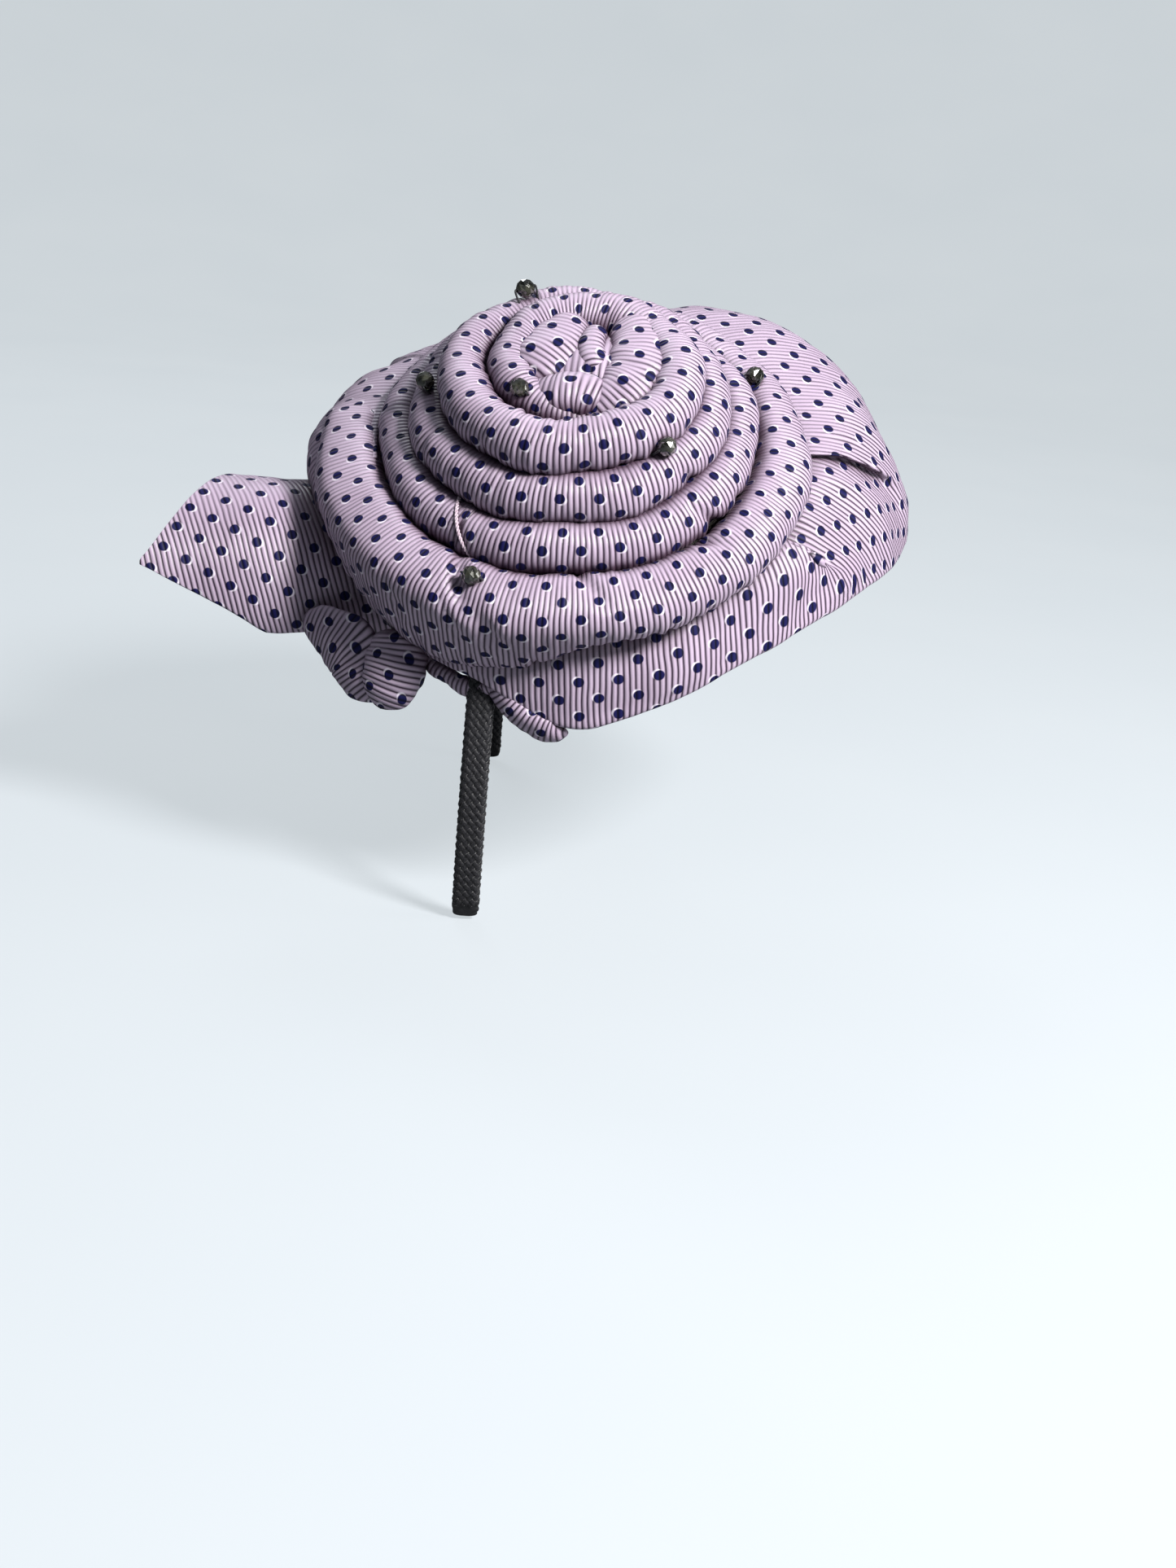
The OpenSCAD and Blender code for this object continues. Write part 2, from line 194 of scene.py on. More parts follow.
def spline(points, count):
    """Catmull-Rom curve through the points."""
    points = np.asarray(points, float)
    ends = np.vstack([2 * points[0] - points[1], points, 2 * points[-1] - points[-2]])
    at = np.linspace(0, len(points) - 1, count)
    k = np.minimum(at.astype(int), len(points) - 2)
    t = (at - k)[:, None]
    a, b, c, d = ends[k], ends[k + 1], ends[k + 2], ends[k + 3]
    return 0.5 * (2 * b + (c - a) * t + (2 * a - 5 * b + 4 * c - d) * t ** 2
                  + (3 * b - a - 3 * c + d) * t ** 3)


def crease(uv, start, end, depth, width):
    """How far a crease from start to end pushes each point in, given its place in the silk."""
    start, end = np.array(start, float), np.array(end, float)
    along = np.clip(((uv - start) @ (end - start)) / np.sum((end - start) ** 2), 0, 1)
    gap = np.linalg.norm(uv - start - along[..., None] * (end - start), axis=-1)
    taper = np.sin(np.pi * np.clip(along, 0.08, 0.92)) ** 0.5
    return depth * taper * np.exp(-(gap / width) ** 2)


def normals(grid):
    """Unit normals of a grid of points, from its neighbours."""
    return unit(np.cross(np.gradient(grid, axis=0), np.gradient(grid, axis=1)))


# ---------------------------------------------------------------- meshes


def signed_volume(points, faces):
    """Below zero when the quads face inwards."""
    quads = np.array([f for f in faces if len(f) == 4])
    a, b, c, d = (points[quads[:, k]] for k in range(4))
    return float(np.sum(np.cross(b - a, c - a) * (c + d + a + b) / 4))


def link_mesh(name, points, faces, flat=False):
    """Mesh object from points in metres, in the scene."""
    mesh = bpy.data.meshes.new(name)
    mesh.from_pydata(points, [], faces)
    mesh.update()
    mesh.polygons.foreach_set("use_smooth", [not flat] * len(mesh.polygons))
    obj = bpy.data.objects.new(name, mesh)
    bpy.context.scene.collection.objects.link(obj)
    return obj


def turned_out(points, faces):
    """The faces, turned over if they look inwards."""
    if signed_volume(points - points.mean(axis=0), faces) < 0:
        return [tuple(reversed(face)) for face in faces]
    return faces


def new_object(name, points, faces, flat=False):
    """Mesh object from row-frame points in millimetres, with its faces turned outwards."""
    return link_mesh(name, (points * MM).tolist(), turned_out(points, faces), flat)


def grid_faces(rows, columns, loop=False):
    """Faces through rows of points, and each quad's row and column. Each row is a closed
    section; loop joins the last row to the first, or else both ends are capped."""
    i, j = np.meshgrid(np.arange(rows if loop else rows - 1), np.arange(columns), indexing="ij")
    i, j = i.ravel(), j.ravel()
    i2, j2 = (i + 1) % rows, (j + 1) % columns
    quads = np.stack([i * columns + j, i2 * columns + j, i2 * columns + j2, i * columns + j2], 1)
    faces = [tuple(f) for f in quads.tolist()]
    if not loop:
        faces.append(tuple(range(columns)))
        faces.append(tuple(range(rows * columns - 1, (rows - 1) * columns - 1, -1)))
    return faces, np.stack([i, j], 1)


def loft(name, grid, uv=None, loop=False):
    """Closed surface through rows of points. uv has one more column than grid."""
    rows, columns = grid.shape[:2]
    faces, corners = grid_faces(rows, columns, loop=loop)
    obj = new_object(name, grid.reshape(-1, 3), faces)
    if uv is not None:
        set_silk_places(obj, uv, corners, columns, rows)
    return obj


def set_silk_places(obj, uv, corners, columns, rows):
    """Writes each face corner's place in the flat silk, in millimetres, to the UV map."""
    mesh = obj.data
    layer = mesh.uv_layers.new(name="silk")
    starts = np.zeros(len(mesh.loops), int)
    mesh.loops.foreach_get("vertex_index", starts)
    totals = np.zeros(len(mesh.polygons), int)
    mesh.polygons.foreach_get("loop_total", totals)
    face = np.repeat(np.arange(len(mesh.polygons)), totals)
    row, column = starts // columns, starts % columns
    is_quad = face < len(corners)
    own = corners[np.minimum(face, len(corners) - 1)]
    row = np.where(is_quad & (own[:, 0] == rows - 1) & (row == 0), uv.shape[0] - 1, row)
    column = np.where(is_quad & (own[:, 1] == columns - 1) & (column == 0), columns, column)
    layer.data.foreach_set("uv", uv[row, column].astype(np.float32).ravel())


def finish_piece(obj, body, slot, material, *cad_nodes):
    """A piece that rides on a body and takes over some CAD nodes."""
    obj.data.materials.append(material)
    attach(obj, body)
    if cad_nodes:
        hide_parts(*cad_nodes)


# ---------------------------------------------------------------- materials


class Nodes:
    """A short hand for building a material's node tree."""

    def __init__(self, name):
        self.material = bpy.data.materials.new(name)
        self.material.use_nodes = True
        self.tree = self.material.node_tree
        self.shader = self.tree.nodes["Principled BSDF"]

    def add(self, kind, **settings):
        node = self.tree.nodes.new(kind)
        for key, value in settings.items():
            setattr(node, key, value)
        return node

    def link(self, source, target):
        if isinstance(source, bpy.types.NodeSocket):
            self.tree.links.new(source, target)
        else:
            target.default_value = source

    def math(self, operation, a, b=0.0, c=0.0):
        node = self.add("ShaderNodeMath", operation=operation)
        for socket, value in zip(node.inputs, (a, b, c)):
            self.link(value, socket)
        return node.outputs[0]

    def ramp(self, value, low, high):
        """0 at low and 1 at high, eased, which also works with low above high."""
        node = self.add("ShaderNodeMapRange", interpolation_type="SMOOTHSTEP")
        for socket, item in zip(node.inputs, (value, low, high, 0.0, 1.0)):
            self.link(item, socket)
        return node.outputs[0]

    def mix(self, factor, a, b):
        node = self.add("ShaderNodeMix", data_type="RGBA")
        self.link(factor, node.inputs[0])
        self.link(a, node.inputs[6])
        self.link(b, node.inputs[7])
        return node.outputs[2]

    def noise(self, scale, detail=2.0, vector=None):
        node = self.add("ShaderNodeTexNoise")
        node.inputs["Scale"].default_value = scale
        node.inputs["Detail"].default_value = detail
        if vector is None:
            vector = self.object_place()
        self.link(vector, node.inputs["Vector"])
        return node.outputs["Fac"]

    def object_place(self):
        """Place in the row frame at rest, in millimetres."""
        scale = self.add("ShaderNodeVectorMath", operation="SCALE")
        scale.inputs["Scale"].default_value = 1 / MM
        self.link(self.add("ShaderNodeTexCoord").outputs["Object"], scale.inputs[0])
        return scale.outputs[0]

    def bump(self, height, distance, strength=1.0):
        node = self.add("ShaderNodeBump")
        node.inputs["Strength"].default_value = strength
        node.inputs["Distance"].default_value = distance * MM
        self.link(height, node.inputs["Height"])
        return node.outputs["Normal"]

    def set(self, **values):
        for key, value in values.items():
            self.link(value, self.shader.inputs[key.replace("_", " ")])
        return self.material


def colour(r, g, b):
    """Linear colour from display values between 0 and 255."""
    return tuple(((v / 255 + 0.055) / 1.055) ** 2.4 if v > 10 else v / 255 / 12.92
                 for v in (r, g, b)) + (1.0,)


def spot_distance(n, u, v):
    """Distance in millimetres to the nearest spot of the woven half-drop lattice."""
    gaps = []
    for shift in (0.0, 0.5):
        offsets = []
        for place in (u, v):
            whole = n.math("ADD", n.math("DIVIDE", place, SPOT_PITCH), shift)
            offset = n.math("SUBTRACT", n.math("FRACT", whole), 0.5)
            offsets.append(n.math("MULTIPLY", offset, SPOT_PITCH))
        squares = [n.math("MULTIPLY", o, o) for o in offsets]
        gaps.append(n.math("SQRT", n.math("ADD", squares[0], squares[1])))
    return n.math("MINIMUM", gaps[0], gaps[1])


def silk_material():
    """Ribbed lilac satin with woven navy spots."""
    n = Nodes("ribbed_silk")
    uv = n.add("ShaderNodeUVMap", uv_map="silk").outputs[0]
    split = n.add("ShaderNodeSeparateXYZ")
    n.link(uv, split.inputs[0])
    u, v = split.outputs[0], split.outputs[1]

    wander = n.math("MULTIPLY", n.math("SUBTRACT", n.noise(0.11, 1.0), 0.5), 0.7)
    phase = n.math("MULTIPLY", n.math("ADD", u, wander), 2 * math.pi / RIB_PITCH)
    rib = n.math("MULTIPLY_ADD", n.math("COSINE", phase), 0.5, 0.5)
    groove = n.math("POWER", n.math("SUBTRACT", 1.0, rib), 2.0)

    # The ribs are lit from above, so their grooves only go dark where the silk turns away.
    facing = n.add("ShaderNodeVectorMath", operation="DOT_PRODUCT")
    n.link(n.add("ShaderNodeNewGeometry").outputs["Normal"], facing.inputs[0])
    facing.inputs[1].default_value = Vector((-0.4, 0.3, 0.86)).normalized()
    turned = n.ramp(facing.outputs["Value"], 0.8, 0.1)
    depth = n.math("MULTIPLY_ADD", turned, 0.7, 0.3)

    radius = SPOT_D / 2
    distance = spot_distance(n, u, v)
    spot = n.ramp(distance, radius + 0.12, radius - 0.12)
    glint_gap = spot_distance(n, n.math("ADD", u, 0.42), n.math("ADD", v, 0.34))
    glint = n.math("MULTIPLY", n.ramp(glint_gap, radius + 0.15, radius - 0.25),
                   n.math("SUBTRACT", 1.0, spot))

    tone = n.noise(0.05, 3.0)
    stretched = n.add("ShaderNodeCombineXYZ")
    n.link(n.math("MULTIPLY", u, 0.6), stretched.inputs[0])
    n.link(n.math("MULTIPLY", v, 5.0), stretched.inputs[1])
    thread = n.noise(1.0, 2.0, stretched.outputs[0])
    ground = n.mix(n.ramp(tone, 0.3, 0.7), colour(194, 175, 197), colour(206, 188, 210))
    ground = n.mix(n.math("MULTIPLY", thread, 0.25), ground, colour(160, 136, 164))
    ground = n.mix(n.math("MULTIPLY", groove, depth), ground, colour(34, 12, 38))
    ground = n.mix(n.math("MULTIPLY", glint, 0.8), ground, colour(245, 237, 250))
    # Painted shade: ambient occlusion darkens the silk towards a deep mauve in its folds and
    # hollows.
    hollow = n.add("ShaderNodeAmbientOcclusion", samples=6)
    hollow.inputs["Distance"].default_value = 9 * MM
    shade = n.math("MULTIPLY", n.ramp(hollow.outputs["AO"], 0.95, 0.3), 0.9)
    ground = n.mix(shade, ground, colour(58, 32, 52))
    navy = n.mix(groove, colour(24, 24, 76), colour(8, 8, 30))
    base = n.mix(spot, ground, navy)

    height = n.math("POWER", rib, 0.6)
    height = n.math("ADD", height, n.math("MULTIPLY", spot, 0.35))
    height = n.math("ADD", height, n.math("MULTIPLY", thread, 0.12))
    rough = n.math("MULTIPLY_ADD", thread, 0.12, 0.36)
    rough = n.math("MULTIPLY_ADD", spot, 0.12, rough)
    shine = n.math("MULTIPLY_ADD", spot, -0.28, 0.42)
    return n.set(Base_Color=base, Roughness=rough, Specular_IOR_Level=shine, Sheen_Weight=0.05,
                 Sheen_Roughness=0.4, Sheen_Tint=colour(250, 225, 242),
                 Normal=n.bump(height, 0.22, 0.75))


def cloth_material(name, base, dark, pitch, rough=0.85, sheen=0.3, bump=0.15):
    """Plain woven or felted cloth: two crossed thread waves over a soft mottle."""
    n = Nodes(name)
    place = n.add("ShaderNodeSeparateXYZ")
    n.link(n.object_place(), place.inputs[0])
    waves = []
    for first, second in ((0, 1), (1, 2)):
        along = n.math("ADD", place.outputs[first], place.outputs[second])
        waves.append(n.math("SINE", n.math("MULTIPLY", along, 2 * math.pi / pitch)))
    weave = n.math("MULTIPLY_ADD", n.math("MULTIPLY", waves[0], waves[1]), 0.5, 0.5)
    mottle = n.noise(1.6, 4.0)
    shade = n.math("MULTIPLY_ADD", mottle, 0.7, n.math("MULTIPLY", weave, 0.3))
    height = n.math("ADD", weave, mottle)
    return n.set(Base_Color=n.mix(shade, colour(*dark), colour(*base)), Roughness=rough,
                 Sheen_Weight=sheen, Sheen_Roughness=0.5, Specular_IOR_Level=0.25,
                 Normal=n.bump(height, bump))


def cord_material(name, base, dark, rough=0.6):
    """Twisted filament cord, with fine strands and a dull sheen."""
    n = Nodes(name)
    strand = n.noise(3.5, 3.0)
    shade = n.ramp(strand, 0.3, 0.7)
    return n.set(Base_Color=n.mix(shade, colour(*dark), colour(*base)), Roughness=rough,
                 Sheen_Weight=0.35, Sheen_Roughness=0.35, Specular_IOR_Level=0.4,
                 Normal=n.bump(strand, 0.12))


def metal_material(name, base, rough):
    """Drawn metal with fine lengthwise scratches and a little tarnish."""
    n = Nodes(name)
    scratch = n.noise(6.0, 5.0)
    tarnish = n.noise(0.3, 3.0)
    tone = n.mix(n.ramp(tarnish, 0.45, 0.75), colour(*base),
                 colour(*(int(v * 0.7) for v in base)))
    roughness = n.math("MULTIPLY_ADD", scratch, 0.2, rough)
    return n.set(Base_Color=tone, Metallic=1.0, Roughness=roughness,
                 Normal=n.bump(scratch, 0.02))


def fused_material():
    """Braid end melted into a dull, slightly lumpy tab."""
    n = Nodes("fused_braid")
    lumps = n.noise(0.9, 3.0)
    return n.set(Base_Color=n.mix(lumps, colour(14, 14, 16), colour(34, 34, 38)),
                 Roughness=n.math("MULTIPLY_ADD", lumps, 0.3, 0.35),
                 Normal=n.bump(lumps, 0.3))


def glass_material():
    """Smoky grey-green faceted glass with a metallic lustre."""
    n = Nodes("smoky_glass")
    cloud = n.noise(0.45, 2.0)
    tint = n.mix(n.ramp(cloud, 0.35, 0.65), colour(26, 27, 22), colour(92, 93, 80))
    return n.set(Base_Color=tint, Roughness=n.math("MULTIPLY_ADD", cloud, 0.1, 0.04),
                 Transmission_Weight=0.45, IOR=1.6, Specular_IOR_Level=0.8, Coat_Weight=1.0,
                 Coat_Roughness=0.03, Metallic=0.15)


silk = silk_material()
pale_thread = cord_material("pale_thread", (236, 222, 232), (186, 160, 178), 0.5)
black_thread = cord_material("black_thread", (40, 40, 46), (16, 16, 20), 0.5)
braid_cord = cord_material("braid_cord", (42, 42, 47), (14, 14, 17), 0.55)
fused_braid = fused_material()
spring_steel = metal_material("spring_steel", (150, 152, 156), 0.3)
wire_steel = metal_material("wire_steel", (140, 140, 144), 0.35)
buckram = cloth_material("buckram", (120, 118, 112), (80, 78, 74), 1.2)
lining_cloth = cloth_material("lining_cloth", (34, 34, 40), (14, 14, 18), 0.6, 0.8, 0.5)
binding_tape = cloth_material("binding_tape", (30, 30, 36), (10, 10, 14), 0.5, 0.6, 0.4)
black_felt = cloth_material("black_felt", (30, 30, 33), (12, 12, 14), 0.4, 0.95, 0.8, 0.3)
wadding = cloth_material("wadding", (236, 230, 216), (200, 192, 176), 1.5, 0.95, 0.6, 0.5)
wool_interlining = cloth_material("wool_interlining", (226, 218, 200), (186, 176, 156), 0.9)
tipping_cloth = cloth_material("tipping_cloth", (150, 118, 136), (118, 88, 108), 0.35, 0.45, 0.5)
bead_glass = glass_material()

# ---------------------------------------------------------------- the coiled rose


def coil_angle(turn):
    """Angle round the rose of a place on the coil."""
    return np.pi * (1 - 2 * np.asarray(turn))


def coil_youth(turn):
    """Share of its full radius that the roll has reached near its start."""
    return 0.55 + 0.45 * smooth(COIL_START, 0.14, turn)


def coil_centre(turn):
    """Reach and height of the soft roll's centre line."""
    slim = 0.9 * ROLL_RADIUS * (1 - coil_youth(turn))
    sway = 0.35 * ripple(np.asarray(turn) * 7, 0, 6)
    reach = lookup(COIL_REACH, turn, 0.05) - ROLL_INSET + slim + sway
    return reach, lookup(COIL_HEIGHT, turn, 0.05) + 0.35 * ripple(np.asarray(turn) * 6, 0, 7)


def coil_stretch(turn):
    """How far, and in which direction, the roll is drawn in to reach the turn inside it."""
    reach, height = coil_centre(turn)
    inner_reach, inner_height = coil_centre(turn - 1)
    away = np.stack([inner_reach - reach, inner_height - 2.0 - height], -1)
    gap = np.linalg.norm(away, axis=-1)
    length = np.maximum(gap - 2 * ROLL_RADIUS + 1.0, 0) * smooth(0.95, 1.2, turn)
    return length, away / gap[..., None]


ROLL_SIDES = 46
RINGS_PER_TURN = 330
SEAM_JUMP = 3.4

# How far the roll's underside is let down, by place in turns.
COIL_DROP = [[3.73, 0], [3.76, 3.5], [3.79, 9], [3.84, 13], [3.9, 12], [3.96, 5], [4.02, 0]]

# Creases across the roll: place in turns, from and to round the roll, depth and width.
COIL_CREASES = [
    (3.832, 30, 165, 2.4, 1.8), (3.806, -60, 60, 1.2, 1.6),
    (0.86, -70, 20, 0.5, 1.2), (0.42, 80, 190, 0.7, 1.5), (1.62, -60, 30, 0.8, 1.3),
    (1.93, -50, 60, 0.6, 1.6), (2.06, -20, 90, 0.5, 1.2), (2.62, -80, 60, 1.5, 1.4),
    (2.58, -70, 10, 0.9, 1.0), (2.85, -30, 110, 0.8, 0.8), (3.80, -60, 60, 0.9, 1.2),
    (3.83, -60, 90, 0.8, 1.0), (3.87, -70, 40, 0.7, 1.1), (3.64, 100, 190, 1.6, 1.6),
    (3.74, 60, 190, 1.4, 1.4), (3.30, 20, 110, 0.6, 1.6), (1.12, -20, 70, 0.4, 1.2)]


def coil_puckers(u, v, around):
    """Displacement of the rolled silk along its normal, by place in the silk."""
    tuck = np.maximum(smooth(5, -60, around), smooth(110, 190, around))
    sway = 0.32 * ripple(u / 34, v / 22, 3)
    gathers = (0.10 + 0.30 * tuck) * ripple(u / 4.6, v / 17, 4)
    fine = (0.02 + 0.10 * tuck) * ripple(u / 1.9, v / 8, 5)
    return sway + gathers + fine


def coil_grid(start, end, taper_start, taper_end):
    """Points and silk places of a stretch of the roll. Tapers are the lengths in turns over
    which an end is rounded off."""
    count = int((end - start) * RINGS_PER_TURN) + 2
    turn = np.linspace(start, end, count)
    around = np.linspace(-135, 225, ROLL_SIDES + 1)
    reach, height = coil_centre(turn)
    stretch, inward = coil_stretch(turn)
    angle = coil_angle(turn)

    scale = np.ones(count)
    for length, gone in ((taper_start, turn - start), (taper_end, end - turn)):
        if length:
            scale *= rounded(gone / length, 0.004)
    radius = ROLL_RADIUS * scale * coil_youth(turn)

    side = np.radians(around)
    section = np.stack([np.cos(side), np.sin(side)], -1)
    facing = section[None] @ inward[:, :, None]
    pulled = smooth(-0.35, 0.55, facing[..., 0])
    offset = radius[:, None, None] * section[None] + (
        (stretch * scale)[:, None, None] * pulled[..., None] * inward[:, None, :])

    u = path_length(round_place(reach + 4, angle, height + 4))
    u = u + 2 * np.pi * COIL_MEAN_REACH * (start - COIL_START)
    if start >= NECK_END:
        u = u + SEAM_JUMP
    # The last turn is let down on the near side, where it covers the gathered edge.
    drop = lookup(COIL_DROP, turn, 0.015)[:, None] * smooth(-0.1, 0.95, -section[:, 1])[None]
    offset[..., 1] -= drop
    offset[..., 0] *= 1 - 0.5 * np.minimum(drop / 8, 1) * (section[:, 0] < 0)[None]
    u = np.broadcast_to(u[:, None], (count, ROLL_SIDES + 1))
    v = ROLL_RADIUS * side[None] + stretch[:, None] * pulled
    v = v + np.where(around > 90, 1, -1)[None] * drop
    uv = np.stack([u, v], -1)

    push = coil_puckers(u, v, around[None]) * scale[:, None]
    for place, low, high, depth, width in COIL_CREASES:
        at = np.interp(place, turn, u[:, 0], left=-999, right=-999)
        slant = ROLL_RADIUS * math.radians(high - low) * 0.3
        a = (at - slant, ROLL_RADIUS * math.radians(low))
        b = (at + slant, ROLL_RADIUS * math.radians(high))
        push = push - crease(uv, a, b, depth, width)
    offset = offset + push[..., None] * section[None]
    points = round_place(reach[:, None] + offset[..., 0], angle[:, None],
                         height[:, None] + offset[..., 1]) + ROSE_OFFSET * X_AXIS
    return points[:, :-1], uv


def build_coil():
    stretches = [
        ("silk_coil_tail", COIL_START, TAIL_END + 0.002, "tail_coil", 0.10, 0.0),
        ("silk_coil_neck", TAIL_END - 0.002, NECK_END + 0.001, "neck_coil", 0.0, 0.0),
        ("silk_coil_blade", NECK_END - 0.001, COIL_END, "blade_coil", 0.0, 0.018)]
    for name, start, end, node, taper_start, taper_end in stretches:
        points, uv = coil_grid(start, end, taper_start, taper_end)
        finish_piece(loft(name, cap_to_row(points), uv), "cap", "silk", silk, node)


def roll_surface(turn, around, lift):
    """Points on the soft roll's round section, or lifted off it, in the cap frame."""
    reach, height = coil_centre(turn)
    side = np.radians(around)
    radius = ROLL_RADIUS + lift
    return round_place(reach + radius * np.cos(side), coil_angle(turn),
                       height + radius * np.sin(side)) + ROSE_OFFSET * X_AXIS


# ---------------------------------------------------------------- padded folds


def fold_grid(path, widths, depths, facing, sides=30, count=70, blunt=(0.12, 0.12)):
    """Rows of an oval tube along a smooth path. Widths and depths are half sizes at the path's
    points, facing is the way its broad side looks, and blunt is the rounded share of each end."""
    centre = spline(path, count)
    at = np.linspace(0, 1, count)
    keys = np.linspace(0, 1, len(path))
    spread = 0.5 / len(path)
    wide = lookup(np.stack([keys, widths], 1), at, spread)
    deep = lookup(np.stack([keys, depths], 1), at, spread)
    ends = np.ones(count)
    for share, distance in ((blunt[0], at), (blunt[1], 1 - at)):
        ends = ends * rounded(distance / share, 0.003)
    tangent = unit(np.gradient(centre, axis=0))
    side = unit(np.cross(np.broadcast_to(np.asarray(facing, float), tangent.shape), tangent))
    front = unit(np.cross(tangent, side))
    angle = np.linspace(-np.pi, np.pi, sides + 1)[None]
    aside = (wide * ends)[:, None] * np.sin(angle)
    ahead = (deep * ends)[:, None] * np.cos(angle)
    points = centre[:, None] + aside[..., None] * side[:, None] + ahead[..., None] * front[:, None]
    length = np.broadcast_to(path_length(centre)[:, None], (count, sides + 1))
    v = path_length(points.swapaxes(0, 1)).T
    v = v - v[:, sides // 2][:, None]
    return points, np.stack([length, v], -1)


def build_fold(node, name, path, widths, depths, facing, places, wave, seed, **options):
    """A padded fold of silk that rides on the cap. Its node is the CAD solid it takes over."""
    points, uv = fold_grid(path, widths, depths, facing, **options)
    uv = uv + np.array(places, float)
    push = wave * ripple(uv[..., 0] / 9, uv[..., 1] / 14, seed)
    push = push + 0.35 * wave * ripple(uv[..., 0] / 3.1, uv[..., 1] / 11, seed + 50)
    inner = points[:, :-1]
    centre = inner.mean(axis=1, keepdims=True)
    inner = inner + push[:, :-1, None] * unit(inner - centre)
    finish_piece(loft(name, cap_to_row(inner), uv), "cap", "silk", silk,
                 *([node] if node else []))


def build_bud():
    """The tie's narrow end, folded into overlapping petals in the middle of the coil."""
    petals = [
        ("silk_bud_heart", [(-6, 2, 54), (4, 1, 55.5), (13, 0, 54)], (10, 13, 10), (6, 7, 6),
         (0, 0, 1), (2.0, 1.0)),
        ("silk_bud_right", [(8.5, 16, 57), (13, 13, 58.5), (15.5, 7, 59), (15.5, 0, 59),
                            (13, -7, 58.4), (8, -12.5, 57.2), (2.5, -16, 55)],
         (3.4, 5.4, 6.6, 7.4, 7.4, 6.2, 3.2), (3, 3.8, 4.2, 4.4, 4.2, 4, 3), (0.1, 0, 1),
         (1.0, 4.2)),
        ("silk_bud_left", [(2.5, 18.5, 57), (-0.5, 12.5, 58.6), (-3.6, 5.5, 59.2),
                           (-8, -1, 58.4), (-11.5, -4.5, 56.5)],
         (3.4, 6.2, 8.0, 7.0, 3.8), (3, 4.2, 4.6, 4.2, 3.2), (0.1, 0.1, 1), (5.0, 2.2)),
        ("silk_bud_fold", [(5.6, 13, 58), (5.2, 6.5, 60.4), (5.2, 0, 60.7), (6.2, -6.5, 59)],
         (2.4, 3.2, 3.6, 2.8), (2.4, 2.8, 2.8, 2.4), (0, 0, 1), (3.0, 6.5)),
        ("silk_bud_front", [(-9, -7, 56.5), (-4, -9, 58), (2.5, -10, 58.8), (8.5, -12, 57.6)],
         (3.2, 5.2, 6.0, 4.4), (3, 4, 4.2, 3.5), (0, -0.2, 1), (2.5, 3.0)),
    ]
    for k, petal in enumerate(petals):
        build_fold(None if k else "rose_bud", *petal, 0.3, 20 + k, sides=40, count=80,
                   blunt=(0.25, 0.3))


# ---------------------------------------------------------------- draped silk

# Panels of the drape, each laid flat on its own: where it starts, the direction its ribs point
# along, and the share of its angle that is left when it is laid flat.
DRAPE_PANELS = [(-160, -88, 0.45), (-27, -8, 0.7), (5, 6, 0.7), (72, 100, 0.55),
                (118, 118, 0.6), (138, 165, 0.6), (160, 172, 0.6)]

# Darts: direction at the roll and at its far end, share of the drape it crosses, half width in
# degrees, height, fold-over, and whether its upper side has the larger direction.
DRAPE_DARTS = [(-31, -20, 0.85, 5.5, 2.8, 1.7, False), (2, 10, 0.88, 3.6, 1.5, 1.7, True),
               (70, 76, 0.75, 5.0, 1.6, 1.8, True), (104, 110, 0.8, 5.0, 1.4, 1.7, True)]

DRAPE_ROWS = 44
HEM_RADIUS = 1.3
HEM_RETURN = 7.0
SILK_DEPTH = 0.9


def drape_profile(direction):
    """Reach and height across the drape in some directions, from the roll to the hem's end."""
    roll_height = lookup(COIL_HEIGHT, 3.5 - direction / 360, 0.05)
    start = roll_height + lookup(DRAPE_START, direction, 5)
    inner = np.stack([np.full_like(direction, DRAPE_INNER_REACH), start], -1)
    outer = np.stack([lookup(DRAPE_REACH, direction, 5), lookup(DRAPE_HEIGHT, direction, 5)], -1)
    slope = unit(outer - inner)
    out = np.stack([-slope[:, 1], slope[:, 0]], -1)
    out = np.where(out[:, :1] < 0, -out, out)
    bulge = lookup(DRAPE_BULGE, direction, 6)
    middle = (inner + outer) / 2 + out * bulge[:, None]
    t = np.linspace(0, 1, DRAPE_ROWS)[None, :, None]
    crest = 2 * middle - (inner + outer) / 2
    body = ((1 - t) ** 2 * inner[:, None] + 2 * t * (1 - t) * crest[:, None]
            + t ** 2 * outer[:, None])
    down = unit(body[:, -1] - body[:, -2])
    inwards = np.stack([down[:, 1], -down[:, 0]], -1)
    inwards = np.where(inwards[:, :1] > 0, -inwards, inwards)
    turned = np.radians(np.linspace(20, 180, 8))[None, :, None]
    curl = (outer[:, None] + HEM_RADIUS * np.sin(turned) * down[:, None]
            + HEM_RADIUS * (1 - np.cos(turned)) * inwards[:, None])
    back = np.linspace(1, HEM_RETURN, 6)[None, :, None]
    hem = curl[:, -1:] - back * down[:, None]
    return np.concatenate([body, curl, hem], axis=1)


